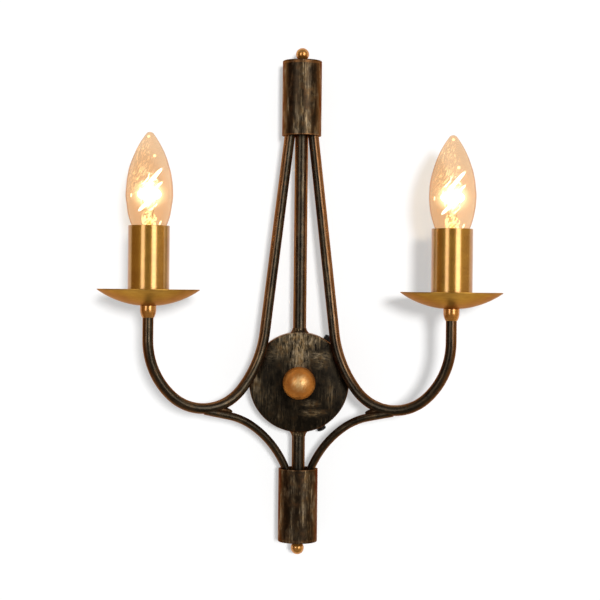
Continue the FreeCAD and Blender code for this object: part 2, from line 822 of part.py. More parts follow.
def scrollRoute():
    """From the lower hub, out of the sleeve and round to the arm's underside."""
    lean, slope = S["scrollLeanAngle"], S["scrollLandAngle"]
    ratio, firstTurn = S["scrollCurveRatio"], S["scrollFirstAngle"]
    # the place on the arm where the rod's end lies, in heights over the canopy's middle
    bendStart = armRoute[-4]
    entry = S["armSlopeAngle"] + S["innerBendAngle"]
    bendHeart = (
        bendStart[0] + S["bottomBendRadius"] * cosine(entry),
        bendStart[1] + upperTubeTop + S["bottomBendRadius"] * sine(entry),
    )
    below = S["bottomBendRadius"] + S["armRadius"] - S["scrollRadius"] + S["landStep"]
    landAcross = work("landAcross", bendHeart[0] - below * sine(S["landAngle"]))
    landUp = work("landUp", bendHeart[1] - below * cosine(S["landAngle"]))
    # the crank that leads out of the sleeve
    straight = S["stemStub"] + S["hubThickness"]
    crank = S["scrollCrankRadius"]
    crankAcross = scrollPitch + crank * (1 - cosine(lean))
    crankUp = lowerRodFoot + straight + crank * sine(lean)
    # the two curves' size, so that the rod ends there on a straight run of the given slope
    across = landAcross - crankAcross
    up = landUp - crankUp
    secondTurn = slope - lean - firstTurn
    offset = across * cosine(slope) - up * sine(slope)
    spread = ratio * (cosine(slope - lean) - cosine(secondTurn)) + cosine(secondTurn) - 1
    second = work("scrollSecondRadius", offset / spread)
    first = work("scrollFirstRadius", second * ratio)
    along = across * sine(slope) + up * cosine(slope)
    curved = first * (sine(slope - lean) - sine(secondTurn)) + second * sine(secondTurn)
    run = work("scrollRun", along - curved)
    return route("scroll", scrollPitch, 0, UP, [
        straight,
        (crank, lean, RIGHTWARD),
        (first, firstTurn, RIGHTWARD),
        (second, secondTurn, RIGHTWARD),
        run,
    ])


def leadRoute():
    """From the lampholder back along the arm, over into the stem and down to the terminal block."""
    loop = (armPitch - S["leadPitch"]) / 2
    toBend = S["socketFloor"] - S["leadTopGap"] + S["armRise"] + S["panThickness"] + S["panNutHeight"]
    rise = S["hubThickness"] + S["stemStub"] + S["leadLoopRise"]
    fall = upperTubeTop + S["leadLoopRise"] - S["blockFoot"] - S["blockHeight"]
    return route("lead", reach, 0, DOWN, [
        toBend,
        (S["outerBendRadius"], lastBendTurn, RIGHTWARD),
        (S["bottomBendRadius"], S["bottomBendAngle"], RIGHTWARD),
        (S["innerBendRadius"], S["innerBendAngle"], RIGHTWARD),
        S["armRun"],
        (S["armCrankRadius"], S["armSlopeAngle"], RIGHTWARD),
        rise,
        (loop, Dim(90), LEFTWARD),
        (loop, Dim(90), LEFTWARD),
        fall,
    ])


def makeArms():
    """Arm tubes, scroll rods, brazes and leads: each is shaped in its arm's upright plane, then turned."""
    armForm = bent("arm_form", armRoute, S["armRadius"])
    place(armForm, z=upperTubeTop)
    rodForm = bent("scroll_form", scrollRoute(), S["scrollRadius"])
    place(rodForm, z=lowerRodFoot)
    crotch = crotchPlace()
    leadPoints = leadRoute()
    leadTop = holderFoot + S["socketFloor"] - S["leadTopGap"]
    for side, azimuth in SIDES.items():
        arm = bent("arm_tube_" + side, armRoute, S["armRadius"], S["armRadius"] - S["armWall"])
        place(arm, 0, stemY, upperTubeTop, angle=azimuth)
        keep("arm_tube_" + side, arm)

        scroll = cutAway("scroll_rod_" + side, rodForm, [armForm])
        place(scroll, 0, stemY, 0, angle=azimuth)
        keep("scroll_rod_" + side, scroll)

        braze = cutAway("braze_" + side, brazeForm(side, *crotch), [armForm, rodForm])
        place(braze, 0, stemY, 0, angle=azimuth)
        keep("braze_" + side, braze)

        lead = bent("lead_" + side, leadPoints, S["leadRadius"])
        place(lead, 0, stemY, leadTop, angle=azimuth)
        keep("lead_" + side, lead)


def brazeForm(side, across, up):
    """The fillet stands in the crotch, where the two outlines first meet."""
    form = doc.addObject("Part::Ellipsoid", "braze_form_" + side)
    bind(form, "Radius1", S["brazeLength"] / 2)
    bind(form, "Radius2", S["brazeHeight"] / 2)
    bind(form, "Radius3", S["brazeWidth"] / 2)
    return place(form, across, 0, up, (0, 1, 0), S["scrollLandAngle"])


def crotchPlace():
    """Where the rod's top line meets the arm's underside, in the arm's own upright plane."""
    slope = S["scrollLandAngle"]
    entry = S["armSlopeAngle"] + S["innerBendAngle"]
    bendStart = armRoute[-4]
    heartAcross = bendStart[0] + S["bottomBendRadius"] * cosine(entry)
    heartUp = bendStart[1] + upperTubeTop + S["bottomBendRadius"] * sine(entry)
    below = S["bottomBendRadius"] + S["armRadius"] - S["scrollRadius"] + S["landStep"]
    # the rod's top line lies one rod radius above its axis, which passes the landing place
    acrossAxis = S["landAngle"] - (90 - slope)
    gap = below * cosine(acrossAxis) - S["scrollRadius"]
    outer = S["bottomBendRadius"] + S["armRadius"]
    along = root(outer * outer - gap * gap)
    across = work("crotchAcross", heartAcross + gap * cosine(slope) - along * sine(slope))
    return across, work("crotchUp", heartUp - gap * sine(slope) - along * cosine(slope))


def makeCandle(side):
    """Bead, drip pan, nut, lampholder, candle cover and bulb on the arm's end."""
    x, y = candleSpot(side)
    armHole = S["armRadius"] + S["slipFit"]

    foot = armHole + S["beadFootWall"]
    narrowing = S["beadRadius"] - foot
    taper, cheek = S["beadTaper"], S["beadCheek"]
    beadCurve = (taper * taper + narrowing * narrowing) / (narrowing * 2)
    bead = turned("pan_bead_" + side, [
        (armHole, 0),
        (foot, 0),
        (S["beadRadius"], taper, beadCurve, LEFTWARD),
        (S["beadRadius"], taper + cheek),
        (armHole, taper + cheek),
    ])
    place(bead, x, y, panFoot - taper - cheek)
    keep("pan_bead_" + side, bead)

    curve, thick = S["panCurve"], S["panThickness"]
    floor, rim = S["panFloorRadius"], S["panRadius"]
    inner = curve - thick
    heart = root(curve * curve - floor * floor)
    rimUp = heart - root(curve * curve - rim * rim)
    innerFloor = root(inner * inner - (heart - thick) * (heart - thick))
    innerRim = rim - thick
    innerRimUp = heart - root(inner * inner - innerRim * innerRim)
    lip = rimUp + S["panLip"]
    pan = turned("drip_pan_" + side, [
        (armHole, 0),
        (floor, 0),
        (rim, rimUp, curve, LEFTWARD),
        (rim, lip),
        (innerRim, lip),
        (innerRim, innerRimUp),
        (innerFloor, thick, inner, RIGHTWARD),
        (armHole, thick),
    ])
    place(pan, x, y, panFoot)
    keep("drip_pan_" + side, pan)

    nut = hexNut("pan_nut_" + side, S["panNutFlats"], armHole, S["panNutHeight"])
    place(nut, x, y, panFoot + thick)
    keep("pan_nut_" + side, nut)

    coverFoot = heart - root(inner * inner - S["coverRadius"] * S["coverRadius"])
    coverBore = S["coverRadius"] - S["coverWall"]
    cover = ring("candle_cover_" + side, S["coverRadius"], coverBore, S["coverLength"])
    place(cover, x, y, panFoot + coverFoot + S["slipFit"])
    keep("candle_cover_" + side, cover)

    makeLampholder(side, x, y, armHole)
    makeBulb(side, x, y)


def makeLampholder(side, x, y, armHole):
    shellIn = S["bulbThreadRadius"] + S["bulbFit"]
    shellOut = shellIn + S["shellWall"]
    bore = shellOut + S["shellBackFit"]
    wide, narrow = S["holderRadius"], S["holderFootRadius"]
    top, floor = S["holderHeight"], S["socketFloor"]
    step = wide - narrow
    holder = turned("lampholder_" + side, [
        (armHole, 0),
        (narrow, 0),
        (narrow, S["holderFootHeight"]),
        (wide, S["holderFootHeight"] + step),
        (wide, top),
        (bore, top),
        (bore, floor),
        (S["holderChamber"], floor),
        (S["holderChamber"], S["holderFloor"]),
        (armHole, S["holderFloor"]),
    ])
    place(holder, x, y, holderFoot)
    keep("lampholder_" + side, holder)

    thin = S["contactThickness"]
    contactTop = S["bulbSeat"] - S["bulbFit"] - floor
    contact = turned("lampholder_contact_" + side, [
        (0, 0),
        (shellIn - S["slipFit"], 0),
        (shellIn - S["slipFit"], thin),
        (S["contactRadius"], thin),
        (S["contactRadius"], contactTop),
        (0, contactTop),
    ])
    place(contact, x, y, holderFoot + floor)
    keep("lampholder_contact_" + side, contact)

    shell = ring("lampholder_shell_" + side, shellOut, shellIn, top - floor - S["shellTopGap"])
    place(shell, x, y, holderFoot + floor)
    keep("lampholder_shell_" + side, shell)


def flameOutline():
    """Hollow glass from three arcs: neck to widest place, on to the tip, and the tip's own rounding."""
    glass, neck, wide = S["bulbGlass"], S["bulbNeckRadius"], S["bulbRadius"]
    shoulder, flame, tip = S["bulbShoulder"], S["bulbFlame"], S["bulbTipRound"]
    narrowing = wide - neck
    lower = (shoulder * shoulder + narrowing * narrowing) / (narrowing * 2)
    upper = (flame * flame + wide * wide - flame * tip * 2) / ((wide - tip) * 2)
    # the tip's rounding meets the upper curve on the line through both centres
    across = (upper - wide) / (upper - tip)
    along = (flame - tip) / (upper - tip)
    tipHeart = shoulder + flame - tip
    inner = tip - glass
    innerLower = lower - glass
    innerNeck = wide - lower + root(innerLower * innerLower - shoulder * shoulder)
    return [
        (innerNeck, 0, innerLower, RIGHTWARD),
        (neck, 0),
        (wide, shoulder, lower, LEFTWARD),
        (tip * across, tipHeart + tip * along, upper, LEFTWARD),
        (0, shoulder + flame, tip, LEFTWARD),
        (0, shoulder + flame - glass),
        (inner * across, tipHeart + inner * along, inner, RIGHTWARD),
        (wide - glass, shoulder, upper - glass, RIGHTWARD),
    ]


def makeBulb(side, x, y):
    thread, neck = S["bulbThreadRadius"], S["bulbNeckRadius"]
    cap = turned("bulb_cap_" + side, [
        (0, 0),
        (S["bulbTipRadius"], 0),
        (S["bulbTipRadius"], S["bulbTipHeight"]),
        (thread, S["bulbThreadFoot"]),
        (thread, S["bulbThreadTop"]),
        (neck, S["bulbSkirtFoot"]),
        (neck, S["bulbCapHeight"]),
        (0, S["bulbCapHeight"]),
    ])
    place(cap, x, y, bulbFoot)
    keep("bulb_cap_" + side, cap)

    glass = turned("bulb_glass_" + side, flameOutline())
    place(glass, x, y, bulbFoot + S["bulbCapHeight"])
    keep("bulb_glass_" + side, glass)

    # glass stem, two support wires that lean apart, and the filament between their tips
    high, spread, wire = S["filamentHeight"], S["filamentSpread"], S["filamentWire"]
    stem = doc.addObject("Part::Cone", "bulb_stem_glass_" + side)
    bind(stem, "Radius1", S["bulbStemRadius"])
    bind(stem, "Radius2", S["bulbStemTop"])
    bind(stem, "Height", S["bulbStemHeight"])
    pieces = [stem]
    lean = math.degrees(math.atan2(spread.number, high.number - S["bulbStemHeight"].number / 2))
    length = root((high - S["bulbStemHeight"] / 2) * (high - S["bulbStemHeight"] / 2) + spread * spread)
    for name, sign in (("a", -1), ("b", 1)):
        leg = rod("filament_leg_%s_%s" % (name, side), wire, length)
        place(leg, 0, 0, S["bulbStemHeight"] / 2, (0, 1, 0), lean * sign)
        pieces.append(leg)
    filament = rod("filament_" + side, wire, spread * 2)
    place(filament, -spread, 0, high, (0, 1, 0), 90)
    pieces.append(filament)
    whole = joinedShape("bulb_stem_" + side, pieces)
    place(whole, x, y, bulbFoot + S["bulbCapHeight"])
    keep("bulb_stem_" + side, whole)


def checkAll():
    """Stops on any piece that failed to build, before a file is written."""
    for item in doc.Objects:
        bad = [word for word in item.State if word in ("Invalid", "Error")]
        if bad:
            raise RuntimeError("%s: %s" % (item.Name, item.State))
    for label, item in nodes.items():
        shape = item.Shape
        if shape.isNull() or not shape.isValid() or shape.Volume <= 0:
            raise RuntimeError("%s has no valid shape" % label)


makeCanopy()
makeCanopyScrews()
makeWallPlate()
makeEarthScrew()
makeGrommet()
makeTerminalBlock()
makeKnob()
makeStem("upper", 1, upperTubeTop)
makeStem("lower", -1, lowerRodFoot)
upperCapFoot = S["upperSleeveFoot"] + S["upperSleeveLength"]
lowerCapFoot = -S["lowerSleeveHead"] - S["lowerSleeveLength"]
makeSleeve("upper", S["upperSleeveFoot"], S["upperSleeveLength"], upperHubFoot, upperCapFoot, 1,
           armPitch, S["armRadius"])
makeSleeve("lower", lowerCapFoot, S["lowerSleeveLength"], lowerHubFoot, lowerCapFoot, -1,
           scrollPitch, S["scrollRadius"])
makeArms()
for side in SIDES:
    makeCandle(side)

doc.recompute()
checkAll()
os.makedirs("parts", exist_ok=True)
for label, item in nodes.items():
    item.Shape.exportStep("parts/%s.step" % label)
print("%d sub-parts written" % len(nodes))
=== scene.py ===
import bpy
import bmesh
from math import asin, cos, pi, radians, sin, sqrt
from mathutils import Matrix, Vector, noise


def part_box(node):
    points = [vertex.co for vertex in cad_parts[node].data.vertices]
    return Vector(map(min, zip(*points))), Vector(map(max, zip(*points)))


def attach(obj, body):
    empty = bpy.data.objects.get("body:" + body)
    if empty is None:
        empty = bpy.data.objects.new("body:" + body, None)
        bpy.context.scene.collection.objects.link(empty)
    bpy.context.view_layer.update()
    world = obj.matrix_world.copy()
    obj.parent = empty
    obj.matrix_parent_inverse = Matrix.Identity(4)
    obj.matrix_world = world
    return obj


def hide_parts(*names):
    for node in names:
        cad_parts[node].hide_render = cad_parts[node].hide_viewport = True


# Double arm wall sconce with two lit candle bulbs. Sizes in the dictionaries are millimetres, measured from
# the wall behind the middle of the canopy: +Z up, the front towards -Y, +X to the right.
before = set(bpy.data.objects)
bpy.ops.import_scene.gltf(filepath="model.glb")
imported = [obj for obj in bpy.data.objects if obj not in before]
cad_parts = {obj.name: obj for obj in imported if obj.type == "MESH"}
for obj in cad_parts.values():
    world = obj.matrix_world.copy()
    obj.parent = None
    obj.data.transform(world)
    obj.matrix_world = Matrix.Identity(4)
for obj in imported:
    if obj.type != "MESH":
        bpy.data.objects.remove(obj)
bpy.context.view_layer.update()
mm = 0.001
print("frame loaded:", len(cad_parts), "nodes")

camera = {
    "lens": 96.0,               # on a 36 mm sensor
    "away": 1242.0,             # in front of the wall
    "height": 69.5,
    "roll": 0.62,               # degrees, the top of the object leaning right
    "shiftY": -0.015,
}


def makeCamera():
    data = bpy.data.cameras.new("viewCamera")
    data.lens = camera["lens"]
    data.sensor_width = 36.0
    data.shift_y = camera["shiftY"]
    data.clip_end = 20.0
    item = bpy.data.objects.new("viewCamera", data)
    bpy.context.scene.collection.objects.link(item)
    spot = Matrix.Translation((0, -camera["away"] * mm, camera["height"] * mm))
    upright = Matrix.Rotation(radians(90), 4, "X")
    item.matrix_world = spot @ upright @ Matrix.Rotation(radians(camera["roll"]), 4, "Z")
    bpy.context.scene.camera = item


makeCamera()


def linear(hexText):
    # an sRGB hex colour as linear red, green, blue and alpha
    values = [int(hexText[i:i + 2], 16) / 255 for i in (1, 3, 5)]
    return [v / 12.92 if v <= 0.04045 else ((v + 0.055) / 1.055) ** 2.4 for v in values] + [1.0]


def addNode(tree, kind, inputs=None, stops=(), **settings):
    # one node: its own settings, then its inputs, each a value, a socket or a node whose first output is
    # meant, and for a ramp its stops, each a place with a hex colour or a grey
    node = tree.nodes.new("ShaderNode" + kind)
    for key, value in settings.items():
        setattr(node, key, value)
    for key, value in (inputs or {}).items():
        if isinstance(value, bpy.types.Node):
            value = value.outputs[0]
        if isinstance(value, bpy.types.NodeSocket):
            tree.links.new(value, node.inputs[key])
        else:
            node.inputs[key].default_value = value
    for number, (place, colour) in enumerate(stops):
        elements = node.color_ramp.elements
        element = elements[number] if number < len(elements) else elements.new(place)
        element.position = place
        element.color = linear(colour) if isinstance(colour, str) else (colour, colour, colour, 1.0)
    return node


def startMaterial(name):
    material = bpy.data.materials.new(name)
    material.use_nodes = True
    material.node_tree.nodes.clear()
    return material, material.node_tree


def inMillimetres(tree, middle=(0, 0, 0), along=False):
    # the surface's place in millimetres from a middle, so that each scale below is one over a real size;
    # along reads the places that a bent bar keeps round and along itself
    if along:
        place = addNode(tree, "Attribute", attribute_name="grain").outputs["Vector"]
    else:
        place = addNode(tree, "TexCoord").outputs["Object"]
    shift = [-value for value in middle]
    return addNode(tree, "Mapping", {"Vector": place, "Scale": (1 / mm, 1 / mm, 1 / mm), "Location": shift})


def strokes(tree, place, size, low, high, lean=0.0, shift=(0, 0, 0), detail=3.0, distortion=0.3):
    # noise drawn out into marks of a size in millimetres, leaning from the upright towards +X, in degrees
    turned = addNode(tree, "Mapping", {"Vector": place, "Location": shift,
                                       "Rotation": (0, radians(-lean), 0)})
    drawn = addNode(tree, "Mapping", {"Vector": turned, "Scale": [0.6 / value for value in size]})
    marks = addNode(tree, "TexNoise", {"Vector": drawn, "Scale": 1.0, "Detail": detail, "Roughness": 0.6,
                                       "Distortion": distortion})
    return addNode(tree, "ValToRGB", {"Fac": marks}, [(low, 0.0), (high, 1.0)])


def roundSpot(tree, place, middle, half):
    # one at the middle, fading to nothing at the half sizes, in millimetres; a half size of None reaches on
    # for ever
    scale = [1 / size if size else 0.0 for size in half]
    shift = [-where * share for where, share in zip(middle, scale)]
    local = addNode(tree, "Mapping", {"Vector": place, "Scale": scale, "Location": shift})
    return addNode(tree, "TexGradient", {"Vector": local}, gradient_type="SPHERICAL").outputs["Fac"]


def addBrushing(tree, place, look, smudgesAndHighlight):
    # pale marks where a dry brush touched the wax: strokes along the piece, in patches and broken by specks,
    # and smudges on a face that looks forward, the strongest of which are also a painted highlight
    shift = look["shift"]
    marks = strokes(tree, place, (0.6, 0.6, 12.0), 0.49, 0.66, shift=shift, detail=5.0,
                    distortion=1.1 if smudgesAndHighlight else 0.4)
    patch = strokes(tree, place, (4.0, 4.0, 14.0), 0.43, 0.60, shift=shift)
    speck = strokes(tree, place, (0.45, 0.45, 2.2), 0.34, 0.54, shift=shift, detail=2.0)
    mottle = strokes(tree, place, (1.6, 1.6, 3.2), 0.38, 0.68, shift=shift, detail=6.0, distortion=0.8)
    broken = addNode(tree, "Math", {0: marks, 1: speck}, operation="MULTIPLY")
    broken = addNode(tree, "Math", {0: broken, 1: 0.6}, operation="MULTIPLY")
    smear = addNode(tree, "Math", {0: mottle, 1: 0.22, 2: broken}, operation="MULTIPLY_ADD")
    smear = addNode(tree, "Math", {0: smear, 1: patch}, operation="MULTIPLY")
    touched = addNode(tree, "Math", {0: smear, 1: look["brushing"]}, operation="MULTIPLY")
    if smudgesAndHighlight:
        lying = strokes(tree, place, (3.5, 1.0, 0.7), 0.44, 0.66, 8, shift, 5.0, 1.3)
        cloud = addNode(tree, "Math", {0: mottle, 1: 0.3}, operation="MULTIPLY")
    # each smudge is pale brushing; the strongest, at the top of the canopy, also paint its highlight
    for x, z, wide, high, strength, across in smudgesAndHighlight:
        fade = roundSpot(tree, place, (x, 0, z), (wide, None, high))
        lines = addNode(tree, "Math", {0: lying if across else marks, 1: 0.6, 2: cloud},
                        operation="MULTIPLY_ADD")
        spot = addNode(tree, "Math", {0: fade, 1: lines}, operation="MULTIPLY")
        spot = addNode(tree, "Math", {0: spot, 1: strength}, operation="MULTIPLY")
        touched = addNode(tree, "Math", {0: touched, 1: spot}, operation="MAXIMUM")
    return addNode(tree, "Clamp", {"Value": touched, "Max": 0.9}), marks, speck


def addSideReflectionAndEdges(tree, place, look, marks, along, ends, radius):
    # copper brown in the wax: on the sides of a bar that face left and right it is a painted reflection of
    # the bright wall; it also lies along the ends of a tube and inside a round rim
    if radius:
        flat = addNode(tree, "Mapping", {"Vector": place, "Scale": (1.0, 0.0, 1.0)})
        away = addNode(tree, "VectorMath", {0: flat}, operation="LENGTH").outputs["Value"]
        reflectionAndEdges = addNode(tree, "MapRange", {"Value": away, "From Min": radius - 1.3, "From Max": radius - 0.3,
                                          "To Max": 0.7})
    else:
        # the sides of a bar that face left and right: painted reflection of the bright wall
        middle = (0, 0 if along else -stemAxis, 0)
        section = addNode(tree, "Mapping", {"Vector": place, "Scale": (1.0, 1.0, 0.0), "Location": middle})
        section = addNode(tree, "VectorMath", {0: section}, operation="NORMALIZE")
        side = addNode(tree, "SeparateXYZ", {"Vector": section}).outputs["X"]
        side = addNode(tree, "Math", {0: side}, operation="ABSOLUTE")
        start = look["reflectionFrom"]
        reflectionAndEdges = addNode(tree, "MapRange", {"Value": side, "From Min": start, "From Max": start + 0.42,
                                          "To Max": look["reflectionStrength"]})
    # about 1 mm at the ends of a tube
    for level in ends:
        height = addNode(tree, "SeparateXYZ", {"Vector": place}).outputs["Z"]
        off = addNode(tree, "Math", {0: height, 1: level}, operation="SUBTRACT")
        off = addNode(tree, "Math", {0: off}, operation="ABSOLUTE")
        line = addNode(tree, "MapRange", {"Value": off, "From Min": 0.5, "From Max": 1.2, "To Min": 0.8,
                                          "To Max": 0.0})
        reflectionAndEdges = addNode(tree, "Math", {0: reflectionAndEdges, 1: line}, operation="MAXIMUM")
    uneven = addNode(tree, "Math", {0: marks, 1: 0.7}, operation="ADD")
    reflectionAndEdges = addNode(tree, "Math", {0: reflectionAndEdges, 1: uneven}, operation="MULTIPLY")
    # the copper brown fades towards the bottom, down to 0.3 of its strength
    level = addNode(tree, "SeparateXYZ", {"Vector": inMillimetres(tree)}).outputs["Z"]
    fadeTowardsBottom = addNode(tree, "MapRange", {"Value": level, "From Min": -40.0, "From Max": 130.0, "To Min": 0.3})
    reflectionAndEdges = addNode(tree, "Math", {0: reflectionAndEdges, 1: fadeTowardsBottom}, operation="MULTIPLY")
    return addNode(tree, "Clamp", {"Value": reflectionAndEdges})


def ironPatina(name, look, along=False, smudgesAndHighlight=(), ends=(), radius=None):
    # Aged iron, black wax over bronze lacquer, dry brushed with beige. The eye gets a glossy near-black body,
    # copper brown along both sides, a painted reflection of the bright wall, and pale streaks where the brush
    # touched.
    material, tree = startMaterial(name)
    place = inMillimetres(tree, along=along)
    touched, marks, speck = addBrushing(tree, place, look, smudgesAndHighlight)
    reflectionAndEdges = addSideReflectionAndEdges(tree, place, look, marks, along, ends, radius)
    # wax left thick and thin, in blots of 3 to 6 mm
    blots = addNode(tree, "TexNoise", {"Vector": place, "Scale": 0.2, "Detail": 5.0, "Roughness": 0.6})
    wax = addNode(tree, "ValToRGB", {"Fac": blots}, list(zip((0.35, 0.55, 0.72), look["wax"])))
    paint = addNode(tree, "ValToRGB", {"Fac": blots}, [(0.40, "#b09c7e"), (0.55, "#9c8460"),
                                                      (0.68, "#8e6a42")])
    body = addNode(tree, "MixRGB", {"Fac": reflectionAndEdges, "Color1": wax, "Color2": linear(look["bronze"])})
    colour = addNode(tree, "MixRGB", {"Fac": touched, "Color1": body, "Color2": paint})
    metal = addNode(tree, "MapRange", {"Value": touched, "To Min": 0.95, "To Max": 0.3})
    gloss = addNode(tree, "MapRange", {"Value": blots, "From Min": 0.3, "From Max": 0.7,
                                       "To Min": look["roughness"], "To Max": look["roughness"] + 0.1})
    # grain of the wax: pits and brush ridges of a few hundredths of a millimetre
    ridge = addNode(tree, "Math", {0: speck, 1: touched}, operation="ADD")
    bump = addNode(tree, "Bump", {"Height": ridge, "Strength": 0.2, "Distance": 0.03 * mm})
    shader = addNode(tree, "BsdfPrincipled", {"Base Color": colour, "Metallic": metal, "Roughness": gloss,
                                              "Specular Tint": linear("#e0a472"), "Normal": bump})
    addNode(tree, "OutputMaterial", {"Surface": shader})
    return material


def satinMetal(name, deep, bright, roughness, metallic, coat, paintedHighlight=None):
    # Brass sprayed in satin gold or copper gold under clear lacquer. The eye gets a saturated warm body with
    # two paler, sharper stripes of the lamps in the lacquer, and fine turning lines round it.
    material, tree = startMaterial(name)
    place = inMillimetres(tree)
    # cloudy lacquer, 8 to 15 mm across
    cloud = addNode(tree, "TexNoise", {"Vector": place, "Scale": 0.09, "Detail": 4.0, "Roughness": 0.55})
    # lines left by the turning, 0.3 mm apart and drawn out round the piece
    drawn = addNode(tree, "Mapping", {"Vector": place, "Scale": (0.12, 0.12, 3.0)})
    lines = addNode(tree, "TexNoise", {"Vector": drawn, "Scale": 1.0, "Detail": 2.0})
    uneven = addNode(tree, "Math", {0: lines, 1: 0.5}, operation="SUBTRACT")
    tone = addNode(tree, "Math", {0: uneven, 1: 0.7, 2: cloud}, operation="MULTIPLY_ADD")
    colour = addNode(tree, "ValToRGB", {"Fac": tone}, [(0.3, deep), (0.7, bright)])
    # a painted highlight: a pale patch broken by streaks, at x, z and with a radius
    if paintedHighlight:
        x, z, radius = paintedHighlight
        spot = roundSpot(tree, place, (x, 0, z), (radius, None, radius))
        highlightStreaks = strokes(tree, place, (0.8, 3.0, 2.6), 0.3, 0.6, 30, detail=4.0)
        spot = addNode(tree, "Math", {0: spot, 1: highlightStreaks}, operation="MULTIPLY")
        spot = addNode(tree, "Math", {0: spot, 1: 1.5}, operation="MULTIPLY")
        spot = addNode(tree, "Clamp", {"Value": spot, "Max": 0.85})
        colour = addNode(tree, "MixRGB", {"Fac": spot, "Color1": colour, "Color2": linear("#eac488")})
    # grit of the satin, 0.4 mm
    grit = addNode(tree, "TexNoise", {"Vector": place, "Scale": 2.4, "Detail": 2.0, "Roughness": 0.5})
    gloss = addNode(tree, "MapRange", {"Value": grit, "From Min": 0.3, "From Max": 0.7,
                                       "To Min": roughness - 0.03, "To Max": roughness + 0.04})
    height = addNode(tree, "Math", {0: lines, 1: grit}, operation="ADD")
    bump = addNode(tree, "Bump", {"Height": height, "Strength": 0.12, "Distance": 0.03 * mm})
    shader = addNode(tree, "BsdfPrincipled", {"Base Color": colour, "Metallic": metallic, "Roughness": gloss,
                                              "Specular Tint": linear("#e3a868"), "Normal": bump,
                                              "Coat Weight": coat, "Coat Roughness": 0.16, "Coat IOR": 1.9})
    addNode(tree, "OutputMaterial", {"Surface": shader})
    return material


def fittingFinish(name, colours, scale, roughness, metallic=0.0, bumpDepth=0.03):
    # Small fittings, plated, moulded or blackened: mottled between two near shades, with a matching fine
    # surface. The scale is one over the mottling's size, the bump's depth is in millimetres.
    material, tree = startMaterial(name)
    place = inMillimetres(tree)
    mottle = addNode(tree, "TexNoise", {"Vector": place, "Scale": scale, "Detail": 4.0, "Roughness": 0.6})
    colour = addNode(tree, "ValToRGB", {"Fac": mottle}, [(0.35, colours[0]), (0.65, colours[1])])
    gloss = addNode(tree, "MapRange", {"Value": mottle, "From Min": 0.3, "From Max": 0.7,
                                       "To Min": roughness - 0.05, "To Max": roughness + 0.07})
    bump = addNode(tree, "Bump", {"Height": mottle, "Strength": 0.3, "Distance": bumpDepth * mm})
    shader = addNode(tree, "BsdfPrincipled", {"Base Color": colour, "Metallic": metallic, "Roughness": gloss,
                                              "Normal": bump})
    addNode(tree, "OutputMaterial", {"Surface": shader})
    return material


def runTo(bm, last, radius, height, hold=0.3):
    # straight to (radius, height), with a ring held close to each end so that the shading stays true
    start = last.co.copy()
    end = Vector((radius, 0, height))
    length = (end - start).length
    shares = [1.0]
    if length > hold * 3:
        shares = [hold / length, 1.0 - hold / length, 1.0]
    for share in shares:
        vert = bm.verts.new(start.lerp(end, share))
        bm.edges.new((last, vert))
        last = vert
    return last


def arcTo(bm, last, radius, height, curve, side, steps):
    # an arc of the given radius to (radius, height); side 1 turns left, -1 turns right
    start = last.co.copy()
    end = Vector((radius, 0, height))
    chord = end - start
    half = chord.length / 2
    rise = sqrt(max(curve * curve - half * half, 0.0))
    normal = Vector((-chord.z, 0, chord.x)).normalized()
    centre = (start + end) / 2 + normal * (side * rise)
    angle = 2 * asin(min(half / curve, 1.0)) * side
    made = bmesh.ops.spin(bm, geom=[last], cent=centre, axis=(0, -1, 0), dvec=(0, 0, 0),
                          angle=angle, steps=steps, use_duplicate=False)
    return [item for item in made["geom_last"] if isinstance(item, bmesh.types.BMVert)][0]


def startTurning(radius, height):
    bm = bmesh.new()
    return bm, bm.verts.new((radius, 0, height))


def turnRound(bm, around=96, closed=True, edge=0.0, sharp=30.0, weld=0.0005):
    # closes the half outline, turns it about Z, and rounds the edges that are still sharp
    loose = [vert for vert in bm.verts if len(vert.link_edges) == 1]
    if closed and len(loose) == 2:
        bm.edges.new(loose)
    bmesh.ops.remove_doubles(bm, verts=bm.verts, dist=weld)
    bmesh.ops.spin(bm, geom=bm.verts[:] + bm.edges[:], cent=(0, 0, 0), axis=(0, 0, 1), dvec=(0, 0, 0),
                   angle=2 * pi, steps=around, use_merge=True, use_duplicate=False)
    bmesh.ops.remove_doubles(bm, verts=bm.verts, dist=weld)
    bmesh.ops.dissolve_degenerate(bm, dist=0.0002, edges=bm.edges)
    bmesh.ops.recalc_face_normals(bm, faces=bm.faces)
    if edge:
        crisp = [item for item in bm.edges if item.is_manifold and item.calc_face_angle() > radians(sharp)]
        bmesh.ops.bevel(bm, geom=crisp, offset=edge, offset_type="OFFSET", segments=3, profile=0.5,
                        affect="EDGES", material=-1, clamp_overlap=True)


def finishPiece(name, bm, place, material, body, replaced=(), smooth=40.0):
    # from millimetres at the piece's own axis to metres at its place in the sconce
    bmesh.ops.transform(bm, matrix=Matrix.Scale(mm, 4) @ place, verts=bm.verts)
    bmesh.ops.recalc_face_normals(bm, faces=bm.faces)
    mesh = bpy.data.meshes.new(name)
    bm.to_mesh(mesh)
    bm.free()
    for face in mesh.polygons:
        face.use_smooth = True
    mesh.set_sharp_from_angle(angle=radians(smooth))
    mesh.materials.append(material)
    item = bpy.data.objects.new(name, mesh)
    bpy.context.scene.collection.objects.link(item)
    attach(item, body)
    if replaced:
        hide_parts(*replaced)
    return item


